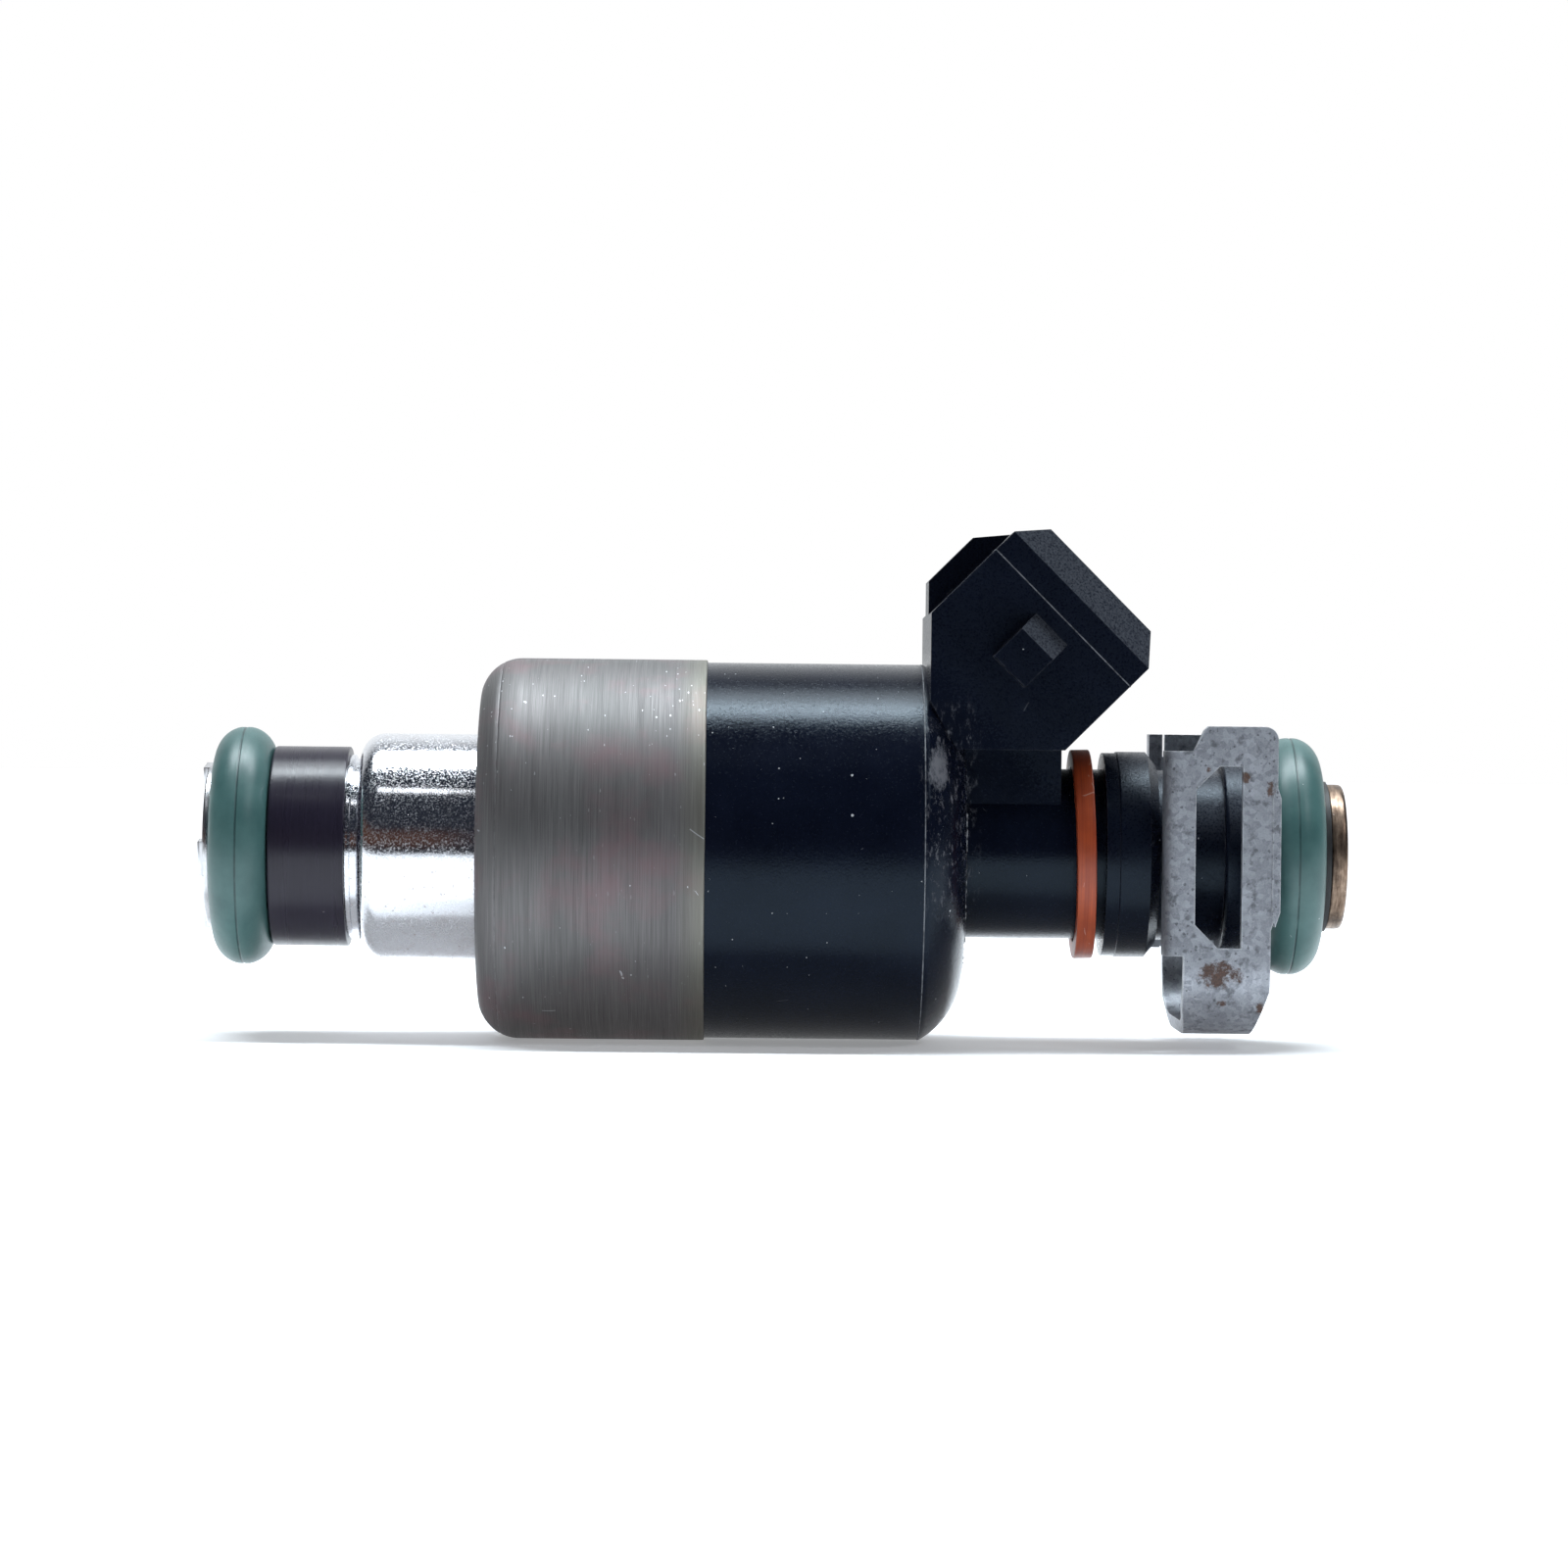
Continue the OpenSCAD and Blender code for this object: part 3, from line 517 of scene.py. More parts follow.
def makeGalvanised(name, look):
    made, tree, shader, at = startFinish(name, 0.5, 0.55)
    where = addNode(tree, "ShaderNodeSeparateXYZ", {0: at}).outputs
    crystals = addNode(tree, "ShaderNodeTexVoronoi", {"Vector": at, "Scale": 3.2})
    facet = addNode(tree, "ShaderNodeSeparateColor", {0: crystals.outputs["Color"]}).outputs[0]
    grain = noiseAt(tree, at, 9.0, 5.0, 0.8)
    drift = maskOf(tree, clouds, at, size=3.4, seed=4.0)
    spots = maskOf(tree, specks, at, spacing=0.24, size=0.46, share=0.36, seed=41.0)
    blots = maskOf(tree, clouds, at, size=0.8, low=0.55, high=0.66, seed=25.0)
    edge = maskOf(tree, edgeWear, at, reach=0.16, gain=3.2, breakup=1.6)
    tone = plus(tree, times(tree, grain, 0.75), times(tree, facet, 0.25))
    colour = blend(tree, remap(tree, tone, 0.30, 0.68), look["tone"], look["pale"])
    colour = blend(tree, times(tree, drift, 0.22), colour, look["dark"])
    colour = blend(tree, times(tree, most(tree, spots, blots), 0.62), colour, look["dark"])
    colour = blend(tree, edge, colour, look["sheared"])
    ragged = noiseAt(tree, at, 1.5, 7.0, 0.78)
    rust = None
    for x, z, wide, tall in look["rustSpots"]:
        across = calc(tree, "DIVIDE", calc(tree, "SUBTRACT", where[0], x), wide)
        up = calc(tree, "DIVIDE", calc(tree, "SUBTRACT", where[2], z), tall)
        far = plus(tree, times(tree, across, across), times(tree, up, up))
        spot = calc(tree, "SUBTRACT", remap(tree, ragged, 0.3, 0.7, -0.35, 2.0), far)
        spot = remap(tree, spot, -0.15, 0.55)
        rust = spot if rust is None else most(tree, rust, spot)
    near = calc(tree, "LESS_THAN", where[1], 0.0)  # the rust sits on the near side only
    rust = times(tree, rust, near)
    stain = blend(tree, remap(tree, grain, 0.42, 0.66), look["rust"], look["fresh"])
    stain = blend(tree, 0.55, stain, look["rust"])
    colour = blend(tree, times(tree, rust, 0.92), colour, stain)
    rough = calc(tree, "ADD", remap(tree, grain, 0.3, 0.7, 0.38, 0.56),
                 times(tree, rust, 0.35), clamp=True)
    metal = remap(tree, rust, 0.0, 1.0, 0.55, 0.0)
    normal = relief(tree, grain, 0.016, 0.5)
    normal = relief(tree, plus(tree, rust, times(tree, spots, -0.6)), 0.02, 0.6, normal)
    feed(tree, shader, colour=colour, roughness=rough, metallic=metal, normal=normal)
    return made


bronzeLook = {"tone": (0.13, 0.085, 0.060, 1), "pale": (0.38, 0.28, 0.21, 1),
              "dark": (0.035, 0.024, 0.020, 1), "bare": (0.72, 0.62, 0.55, 1)}


def makeStainedBronze(name, look):
    made, tree, shader, at = startFinish(name, 0.35, 1.0)
    lines, bands = useGroup(tree, turningMarks, {"Vector": at, "Fineness": 6.0, "Sweep": 0.8})
    flecks = maskOf(tree, specks, at, spacing=0.4, size=0.34, share=0.30, seed=16.0)
    soot = maskOf(tree, clouds, at, size=1.3, low=0.45, high=0.66, seed=11.0)
    edge = maskOf(tree, edgeWear, at, reach=0.14, gain=3.0, breakup=1.6)
    colour = blend(tree, remap(tree, lines, 0.35, 0.68), look["tone"], look["pale"])
    colour = blend(tree, times(tree, soot, 0.75), colour, look["dark"])
    bare = most(tree, times(tree, flecks, 0.7), times(tree, edge, 0.7))
    colour = blend(tree, bare, colour, look["bare"])
    rough = remap(tree, bands, 0.3, 0.7, 0.28, 0.46)
    feed(tree, shader, colour=colour, roughness=rough, normal=relief(tree, lines, 0.012, 0.6))
    return made


# plainer shop finishes: tone, second tone, roughness, metallic, marks per mm
shopFinishes = {
    "zinc_steel": ((0.50, 0.50, 0.51, 1), (0.78, 0.78, 0.80, 1), 0.26, 1.0, 5.0),
    "stainless": ((0.46, 0.46, 0.47, 1), (0.66, 0.66, 0.67, 1), 0.28, 1.0, 12.0),
    "ball_steel": ((0.78, 0.78, 0.79, 1), (0.86, 0.86, 0.87, 1), 0.06, 1.0, 3.0),
    "spring_steel": ((0.22, 0.23, 0.26, 1), (0.42, 0.43, 0.46, 1), 0.30, 1.0, 14.0),
    "bobbin_nylon": ((0.62, 0.58, 0.47, 1), (0.74, 0.71, 0.60, 1), 0.48, 0.0, 3.0),
    "enamelled_wire": ((0.38, 0.10, 0.03, 1), (0.66, 0.26, 0.10, 1), 0.22, 0.8, 4.0),
    "inner_rubber": ((0.010, 0.010, 0.011, 1), (0.026, 0.026, 0.028, 1), 0.55, 0.0, 5.0),
    "brass_collar": ((0.46, 0.29, 0.09, 1), (0.74, 0.53, 0.22, 1), 0.24, 1.0, 9.0),
    "filter_plastic": ((0.52, 0.46, 0.30, 1), (0.68, 0.62, 0.45, 1), 0.50, 0.0, 4.0),
    "blade_tin": ((0.50, 0.50, 0.48, 1), (0.74, 0.74, 0.71, 1), 0.30, 1.0, 8.0),
}


def makeShopFinish(name, tone, second, roughness, metallic, fineness):
    made, tree, shader, at = startFinish(name, roughness, metallic)
    lines, bands = useGroup(tree, turningMarks, {"Vector": at, "Fineness": fineness,
                                                 "Sweep": 0.5})
    drift = maskOf(tree, clouds, at, size=1.8, seed=fineness)
    edge = maskOf(tree, edgeWear, at, reach=0.08, gain=1.6, breakup=3.0)
    colour = blend(tree, remap(tree, lines, 0.33, 0.68), tone, second)
    colour = blend(tree, times(tree, drift, 0.18), colour, (0.02, 0.02, 0.02, 1))
    colour = blend(tree, times(tree, edge, 0.4), colour, second)
    rough = remap(tree, bands, 0.3, 0.7, roughness * 0.8, min(1.0, roughness * 1.3))
    feed(tree, shader, colour=colour, roughness=rough, normal=relief(tree, lines, 0.006, 0.4))
    return made


ringStations = [(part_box(n)[0].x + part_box(n)[1].x) / 2 / mm
                for n in ("lower_o_ring", "upper_o_ring")]
finishes = {
    "nozzle_chrome": makeChrome("nozzleChrome", chromeLook),
    "can_steel": makeCanSteel("canSteel", canLook),
    "body_black": makeMouldedBlack("mouldedBlack", mouldLook),
    "seal_rubber": makeSealRubber("sealRubber", rubberLook, ringStations),
    "band_black": makeSatinBlack("satinBlack", satinLook),
    "ring_orange": makeRingOrange("ringOrange", ringLook),
    "clip_zinc": makeGalvanised("galvanisedSheet", zincLook),
    "tube_bronze": makeStainedBronze("stainedBronze", bronzeLook),
}
tornFlash = makeTornFlash("tornFlash", flashLook)
paleSeam = makeTornFlash("paleSeam", seamLook)
for slotName, values in shopFinishes.items():
    first, *rest = slotName.split("_")
    finishes[slotName] = makeShopFinish(first + "".join(rest).title(), *values)

for part in frame["record"]["subparts"]:
    mesh = nodes[part["node"]].data
    mesh.materials.clear()
    mesh.materials.append(finishes[part["material_slot"]])
print("injector: finishes placed on", len(nodes), "nodes")


# making pieces

def placeMesh(name, mesh, slotName):
    piece = bpy.data.objects.new(name, mesh)
    bpy.context.scene.collection.objects.link(piece)
    mesh.materials.clear()
    mesh.materials.append(finishes[slotName])
    for face in mesh.polygons:
        face.use_smooth = True
        face.material_index = 0
    return piece


def addPiece(name, mesh, slotName, body, *stoodFor):
    piece = placeMesh(name, mesh, slotName)
    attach(piece, body)
    if stoodFor:
        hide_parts(*stoodFor)
    return piece


def faceOutwards(mesh):
    work = bmesh.new()
    work.from_mesh(mesh)
    bmesh.ops.remove_doubles(work, verts=work.verts, dist=1e-7)
    bmesh.ops.recalc_face_normals(work, faces=work.faces)
    work.to_mesh(mesh)
    work.free()


def roundedSection(corners, steps=4):
    # corners are (station, radius, fillet) in order round the section
    section = []
    for i, (x, r, fillet) in enumerate(corners):
        here = Vector((x, r))
        if fillet <= 0:
            section.append(here)
            continue
        before = Vector(corners[i - 1][:2]) - here
        after = Vector(corners[(i + 1) % len(corners)][:2]) - here
        reach = fillet / math.tan(before.angle(after) / 2)
        reach = min(reach, before.length * 0.48, after.length * 0.48)
        start = here + before.normalized() * reach
        end = here + after.normalized() * reach
        for k in range(steps + 1):
            t = k / steps
            section.append(start * (1 - t) ** 2 + here * 2 * t * (1 - t) + end * t * t)
    return section


def arc(x, r, radius, fromDeg, toDeg, steps=10):
    # points of an arc in the section, angles from +X towards larger radius
    made = []
    for k in range(steps + 1):
        angle = math.radians(fromDeg + (toDeg - fromDeg) * k / steps)
        made.append((x + radius * math.cos(angle), r + radius * math.sin(angle), 0))
    return made


def turnedMesh(name, section, segments=192):
    ring = len(section)
    points = []
    faces = []
    for s in range(segments):
        angle = 2 * math.pi * s / segments
        points += [(x * mm, r * mm * math.cos(angle), r * mm * math.sin(angle))
                   for x, r in section]
        after = (s + 1) % segments
        for k in range(ring):
            nextK = (k + 1) % ring
            faces.append((s * ring + k, s * ring + nextK, after * ring + nextK,
                          after * ring + k))
    mesh = bpy.data.meshes.new(name)
    mesh.from_pydata(points, [], faces)
    faceOutwards(mesh)
    return mesh


def setSharp(mesh, degrees=38):
    mesh.set_sharp_from_angle(angle=math.radians(degrees))


def softenedCopy(node, name, width, slotName, body, segments=2, limit=32):
    # a copy of the node with its loose triangles joined and its edges broken
    mesh = nodes[node].data.copy()
    mesh.name = name
    work = bmesh.new()
    work.from_mesh(mesh)
    bmesh.ops.remove_doubles(work, verts=work.verts, dist=2e-6)
    bmesh.ops.dissolve_limit(work, angle_limit=math.radians(0.6), verts=work.verts,
                             edges=work.edges)
    work.to_mesh(mesh)
    work.free()
    rough = bpy.data.objects.new(name + "Rough", mesh)
    bpy.context.scene.collection.objects.link(rough)
    for face in mesh.polygons:
        face.use_smooth = True
    bevel = rough.modifiers.new("edges", "BEVEL")
    bevel.width = width * mm
    bevel.segments = segments
    bevel.limit_method = "ANGLE"
    bevel.angle_limit = math.radians(limit)
    weighted = rough.modifiers.new("shading", "WEIGHTED_NORMAL")
    weighted.keep_sharp = True
    bpy.context.view_layer.update()
    graph = bpy.context.evaluated_depsgraph_get()
    made = bpy.data.meshes.new_from_object(rough.evaluated_get(graph), depsgraph=graph)
    made.name = name
    bpy.data.objects.remove(rough)
    return addPiece(name, made, slotName, body, node)


# geometry node helpers

def startShapeTree(name, inputs):
    tree = bpy.data.node_groups.new(name, "GeometryNodeTree")
    tree.interface.new_socket("Geometry", in_out="OUTPUT", socket_type="NodeSocketGeometry")
    for label, (kind, value) in inputs.items():
        socket = tree.interface.new_socket(label, in_out="INPUT",
                                           socket_type="NodeSocket" + kind)
        if value is not None:
            socket.default_value = value
    return tree, tree.nodes.new("NodeGroupInput").outputs, tree.nodes.new("NodeGroupOutput")


def endShapeTree(tree, given, out, geometry):
    real = addNode(tree, "GeometryNodeRealizeInstances", {0: geometry}).outputs[0]
    done = addNode(tree, "GeometryNodeSetMaterial",
                   {"Geometry": real, "Material": given["Finish"]}).outputs[0]
    tree.links.new(done, out.inputs[0])


def growMesh(name, tree, values):
    holder = bpy.data.objects.new(name + "Grower", bpy.data.meshes.new(name + "Seed"))
    bpy.context.scene.collection.objects.link(holder)
    grower = holder.modifiers.new("grow", "NODES")
    grower.node_group = tree
    for item in tree.interface.items_tree:
        if item.in_out == "INPUT" and item.name in values:
            grower[item.identifier] = values[item.name]
    bpy.context.view_layer.update()
    graph = bpy.context.evaluated_depsgraph_get()
    made = bpy.data.meshes.new_from_object(holder.evaluated_get(graph), depsgraph=graph)
    made.name = name
    holder.modifiers.remove(grower)
    bpy.data.objects.remove(holder)
    faceOutwards(made)
    return made


def makeSealRingTree():
    # a rubber ring: round section, flat moulding land, fine parting groove at the crown
    tree, given, out = startShapeTree("sealRing", {
        "Station": ("Float", 0.0), "Mid Radius": ("Float", 0.0055),
        "Section Radius": ("Float", 0.00178), "Crown Radius": ("Float", 0.00725),
        "Groove Depth": ("Float", 0.00003), "Groove Width": ("Float", 0.00005),
        "Round Steps": ("Int", 160), "Section Steps": ("Int", 72),
        "Finish": ("Material", None)})
    full = 2 * math.pi
    roundCount = plus(tree, given["Round Steps"], 1.0)
    sectionCount = plus(tree, given["Section Steps"], 1.0)
    sheet = addNode(tree, "GeometryNodeMeshGrid", {"Size X": full, "Size Y": full,
                    "Vertices X": roundCount, "Vertices Y": sectionCount}).outputs[0]
    at = addNode(tree, "ShaderNodeSeparateXYZ",
                 {0: addNode(tree, "GeometryNodeInputPosition").outputs[0]}).outputs
    lean = times(tree, calc(tree, "SINE", at[1]), 0.85)
    turn = calc(tree, "SUBTRACT", at[1], lean)  # more points near the crown
    outward = times(tree, calc(tree, "COSINE", turn), given["Section Radius"])
    along = times(tree, calc(tree, "SINE", turn), given["Section Radius"])
    reach = plus(tree, given["Mid Radius"], outward)
    reach = calc(tree, "SMOOTH_MIN", reach, given["Crown Radius"], 0.00004)
    share = calc(tree, "DIVIDE", along, given["Groove Width"])
    bell = calc(tree, "EXPONENT", times(tree, times(tree, share, share), -1.0))
    outer = calc(tree, "GREATER_THAN", calc(tree, "COSINE", turn), 0.0)
    cut = times(tree, times(tree, bell, outer), given["Groove Depth"])
    reach = calc(tree, "SUBTRACT", reach, cut)
    place = addNode(tree, "ShaderNodeCombineXYZ", {
        0: plus(tree, along, given["Station"]),
        1: times(tree, reach, calc(tree, "COSINE", at[0])),
        2: times(tree, reach, calc(tree, "SINE", at[0]))}).outputs[0]
    bent = addNode(tree, "GeometryNodeSetPosition", {"Geometry": sheet,
                                                     "Position": place}).outputs[0]
    closed = addNode(tree, "GeometryNodeMergeByDistance", {"Geometry": bent,
                                                           "Distance": 1e-6}).outputs[0]
    endShapeTree(tree, given, out, closed)
    return tree


def makeWireTree():
    # turns of wire side by side along X
    tree, given, out = startShapeTree("wireTurns", {
        "Start": ("Float", 0.0), "Pitch": ("Float", 0.0003), "Turns": ("Int", 20),
        "Turn Radius": ("Float", 0.009), "Wire Radius": ("Float", 0.00012),
        "Finish": ("Material", None)})
    loop = addNode(tree, "GeometryNodeCurvePrimitiveCircle",
                   {"Resolution": 64, "Radius": given["Turn Radius"]}).outputs[0]
    wire = addNode(tree, "GeometryNodeCurvePrimitiveCircle",
                   {"Resolution": 6, "Radius": given["Wire Radius"]}).outputs[0]
    turn = addNode(tree, "GeometryNodeCurveToMesh", {0: loop, 1: wire}).outputs[0]
    upright = addNode(tree, "GeometryNodeTransform",
                      {"Geometry": turn, "Rotation": (0.0, math.pi / 2, 0.0)}).outputs[0]
    first = addNode(tree, "ShaderNodeCombineXYZ", {0: given["Start"]}).outputs[0]
    step = addNode(tree, "ShaderNodeCombineXYZ", {0: given["Pitch"]}).outputs[0]
    row = addNode(tree, "GeometryNodeMeshLine", {"Count": given["Turns"],
                  "Start Location": first, "Offset": step}).outputs[0]
    placed = addNode(tree, "GeometryNodeInstanceOnPoints",
                     {"Points": row, "Instance": upright}).outputs[0]
    endShapeTree(tree, given, out, placed)
    return tree


def makeFlashTree():
    # ragged bead of moulding flash round an edge
    tree, given, out = startShapeTree("mouldingFlash", {
        "Station": ("Float", 0.0), "Edge Radius": ("Float", 0.007),
        "Bead Radius": ("Float", 0.0001), "Wander": ("Float", 0.0001),
        "Seed": ("Float", 3.0), "Steps": ("Int", 420), "Finish": ("Material", None)})
    loop = addNode(tree, "GeometryNodeCurvePrimitiveCircle",
                   {"Resolution": given["Steps"], "Radius": given["Edge Radius"]}).outputs[0]
    loop = addNode(tree, "GeometryNodeTransform",
                   {"Geometry": loop, "Rotation": (0.0, math.pi / 2, 0.0)}).outputs[0]
    where = addNode(tree, "GeometryNodeInputPosition").outputs[0]
    shift = addNode(tree, "ShaderNodeCombineXYZ", {0: given["Seed"]}).outputs[0]
    scaled = addNode(tree, "ShaderNodeVectorMath", {0: where, 1: (1000.0,) * 3, 2: shift},
                     operation="MULTIPLY_ADD").outputs[0]
    fine = addNode(tree, "ShaderNodeTexNoise", {"Vector": scaled, "Scale": 1.9,
                                                "Detail": 4.0, "Roughness": 0.7})
    push = addNode(tree, "ShaderNodeVectorMath",
                   {0: fine.outputs["Color"], 1: (-0.5, -0.5, -0.5)},
                   operation="ADD").outputs[0]
    push = addNode(tree, "ShaderNodeVectorMath", {0: push, "Scale": given["Wander"]},
                   operation="SCALE").outputs[0]
    station = addNode(tree, "ShaderNodeCombineXYZ", {0: given["Station"]}).outputs[0]
    offset = addNode(tree, "ShaderNodeVectorMath", {0: push, 1: station},
                     operation="ADD").outputs[0]
    moved = addNode(tree, "GeometryNodeSetPosition", {"Geometry": loop,
                                                      "Offset": offset}).outputs[0]
    fat = noiseAt(tree, scaled, 0.9, 5.0, 0.75)
    bead = remap(tree, fat, 0.40, 0.68, 0.15, 1.0)
    moved = addNode(tree, "GeometryNodeSetCurveRadius", {"Curve": moved,
                                                         "Radius": bead}).outputs[0]
    small = addNode(tree, "GeometryNodeCurvePrimitiveCircle",
                    {"Resolution": 6, "Radius": given["Bead Radius"]}).outputs[0]
    bodyMesh = addNode(tree, "GeometryNodeCurveToMesh", {0: moved, 1: small})
    for socket in bodyMesh.inputs:
        if socket.name == "Scale":  # newer releases read the radius through this input
            tree.links.new(addNode(tree, "GeometryNodeInputRadius").outputs[0], socket)
    endShapeTree(tree, given, out, bodyMesh.outputs[0])
    return tree


# seals

sealRing = {"section": 1.78, "midInset": 1.75, "grooveDepth": 0.035, "grooveWidth": 0.05,
            "roundSteps": 176, "sectionSteps": 72}
sealTree = makeSealRingTree()


def makeSeal(node, name):
    low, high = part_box(node)
    crown = high.z
    mesh = growMesh(name, sealTree, {
        "Station": (low.x + high.x) / 2, "Mid Radius": crown - sealRing["midInset"] * mm,
        "Section Radius": sealRing["section"] * mm, "Crown Radius": crown,
        "Groove Depth": sealRing["grooveDepth"] * mm,
        "Groove Width": sealRing["grooveWidth"] * mm,
        "Round Steps": sealRing["roundSteps"], "Section Steps": sealRing["sectionSteps"],
        "Finish": finishes["seal_rubber"]})
    return addPiece(name, mesh, "seal_rubber", "injector", node)


makeSeal("lower_o_ring", "manifoldSeal")
makeSeal("upper_o_ring", "railSeal")
print("injector: seals made")


# turned metal

def stationsOf(node):
    low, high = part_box(node)
    return low.x / mm, high.x / mm, high.z / mm


bandPiece = {"bore": 3.72, "leftRound": 0.18, "rightRound": 0.10}


def makeBand():
    x0, x1, r = stationsOf("spacer_band")
    section = roundedSection([(x0, bandPiece["bore"], 0), (x0, r, bandPiece["leftRound"]),
                              (x1, r, bandPiece["rightRound"]), (x1, bandPiece["bore"], 0)])
    mesh = turnedMesh("spacerSleeve", section)
    addPiece("spacerSleeve", mesh, "band_black", "injector", "spacer_band")
    setSharp(mesh)


makeBand()

nozzlePiece = {"noseRadius": 3.0, "spigotRadius": 3.7, "outlet": 2.0, "cavity": 4.9,
               "grooveRadius": 5.4, "grooveWidth": 0.7, "beadRadius": 5.62,
               "beadWidth": 0.34, "discGap": 0.02, "sleeveRound": 1.45, "cavityFrom": 8.0}


def makeNozzle():
    p = nozzlePiece
    tip, plugEnd, sleeve = stationsOf("spray_housing")
    disc = stationsOf("tip_retainer")
    bandEnd = stationsOf("spacer_band")[1]
    beadEnd = bandEnd + p["beadWidth"]
    sleeveX = bandEnd + p["grooveWidth"]
    spigotX = disc[1] + p["discGap"]
    corner = arc(sleeveX + p["sleeveRound"], sleeve - p["sleeveRound"], p["sleeveRound"],
                 180, 90, 12)
    corners = [(tip, p["outlet"], 0.1), (tip, p["noseRadius"], 0.1),
               (spigotX, p["noseRadius"], 0), (spigotX, p["spigotRadius"], 0.1),
               (bandEnd, p["spigotRadius"], 0), (bandEnd, p["beadRadius"], 0.05),
               (beadEnd, p["beadRadius"], 0.08), (beadEnd, p["grooveRadius"], 0),
               (sleeveX, p["grooveRadius"], 0), *corner,
               (plugEnd, sleeve, 0.1), (plugEnd, p["cavity"], 0),
               (p["cavityFrom"], p["cavity"], 0), (p["cavityFrom"], p["outlet"], 0)]
    mesh = turnedMesh("nozzleSleeve", roundedSection(corners), 224)
    addPiece("nozzleSleeve", mesh, "nozzle_chrome", "injector", "spray_housing")
    setSharp(mesh, 30)


makeNozzle()

canPiece = {"cornerRound": 2.53, "shoulder": 2.4, "bore": 10.3, "lipRadius": 10.95,
            "mouthRadius": 6.97, "plugEnd": 17.6, "mouldFrom": 28.2, "endRound": 0.12,
            "scribeAt": 15.75, "scribeDepth": 0.035}


def makeCan():
    p = canPiece
    x0, lipEnd, r = stationsOf("solenoid_housing")
    centreX = x0 + p["shoulder"]
    centreR = r - p["cornerRound"]
    start = 180 - math.degrees(math.acos(p["shoulder"] / p["cornerRound"]))
    scribe = 180 - math.degrees(math.acos((centreX - p["scribeAt"]) / p["cornerRound"]))
    left = arc(centreX, centreR, p["cornerRound"], start, scribe + 1.5, 8)
    notch = arc(centreX, centreR, p["cornerRound"] - p["scribeDepth"], scribe, scribe, 1)[:1]
    right = arc(centreX, centreR, p["cornerRound"], scribe - 1.5, 90, 14)
    corners = [(x0, p["mouthRadius"], 0.08), *left, *notch, *right,
               (p["mouldFrom"], r, p["endRound"]), (p["mouldFrom"], p["lipRadius"], 0),
               (lipEnd, p["lipRadius"], 0), (lipEnd, p["bore"], 0),
               (p["plugEnd"], p["bore"], 0), (p["plugEnd"], p["mouthRadius"], 0)]
    mesh = turnedMesh("coilCan", roundedSection(corners), 224)
    addPiece("coilCan", mesh, "can_steel", "injector", "solenoid_housing")
    setSharp(mesh, 34)


makeCan()

tubePiece = {"poleRadius": 4.5, "poleEnd": 28.1, "tubeRadius": 3.7, "bore": 2.6,
             "flangeWidth": 1.0, "flangeRadius": 4.43, "flangeRound": 0.3, "boreRound": 0.25}


def makeTube():
    p = tubePiece
    x0, x1, r = stationsOf("inlet_tube")
    flangeR = p["flangeRadius"]
    flangeX = x1 - p["flangeWidth"]
    corners = [(x0, p["bore"], 0.1), (x0, p["poleRadius"], 0.1),
               (p["poleEnd"], p["poleRadius"], 0), (p["poleEnd"], p["tubeRadius"], 0),
               (flangeX, p["tubeRadius"], 0), (flangeX, flangeR, 0.12),
               (x1, flangeR, p["flangeRound"]), (x1, p["bore"], p["boreRound"])]
    mesh = turnedMesh("fuelTube", roundedSection(corners))
    addPiece("fuelTube", mesh, "tube_bronze", "injector", "inlet_tube")
    setSharp(mesh)


makeTube()

tallyRing = {"bore": 5.35, "width": 1.15, "radius": 6.4, "lean": 1.3, "round": 0.1}


def makeTallyRing():
    p = tallyRing
    low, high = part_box("id_ring")
    half = p["width"] / 2
    section = roundedSection([(-half, p["bore"], p["round"]), (-half, p["radius"], p["round"]),
                              (half, p["radius"], p["round"]), (half, p["bore"], p["round"])])
    mesh = turnedMesh("tallyRing", section)
    lean = Quaternion((0, 1, 0), math.radians(-p["lean"]))
    middle = Vector(((low.x + high.x) / 2, 0, 0))
    for point in mesh.vertices:
        point.co = lean @ point.co + middle
    addPiece("tallyRing", mesh, "ring_orange", "identity_ring", "id_ring")
    setSharp(mesh)


makeTallyRing()
print("injector: turned pieces made")


# moulding, clip and small parts

mouldPiece = {"edge": 0.16, "barrelRadius": 11.5, "seamAt": 41.25, "seamWidth": 0.07,
              "seamHeight": 0.02, "faceAt": 43.88, "faceEdge": 7.16,
              "frameAt": 45.1, "frameWidth": 0.07, "frameHeight": 0.025,
              "socketOffset": 24.9, "socketThick": 11.5, "socketWide": 15.0,
              "wall": 1.6}


def makeMoulding():
    p = mouldPiece
    body = softenedCopy("connector_body", "mouldedBody", p["edge"], "body_black",
                        "injector").data
    # how far each face leans towards the socket's mouth, read by the moulding's finish to
    # paint light on those faces
    lean = body.attributes.new("mouthLean", "FLOAT", "FACE")
    mouth = Vector((1, 0, 1)).normalized()
    for face in body.polygons:
        lean.data[face.index].value = max(0.0, face.normal.dot(mouth))
    low, high = p["seamAt"] - p["seamWidth"] / 2, p["seamAt"] + p["seamWidth"] / 2
    r = p["barrelRadius"]
    section = roundedSection([(low, r - 0.1, 0), (low, r + p["seamHeight"], 0.01),
                              (high, r + p["seamHeight"], 0.01), (high, r - 0.1, 0)], 2)
    seam = turnedMesh("barrelSeam", section)
    addPiece("barrelSeam", seam, "body_black", "injector")
    seam.materials[0] = paleSeam


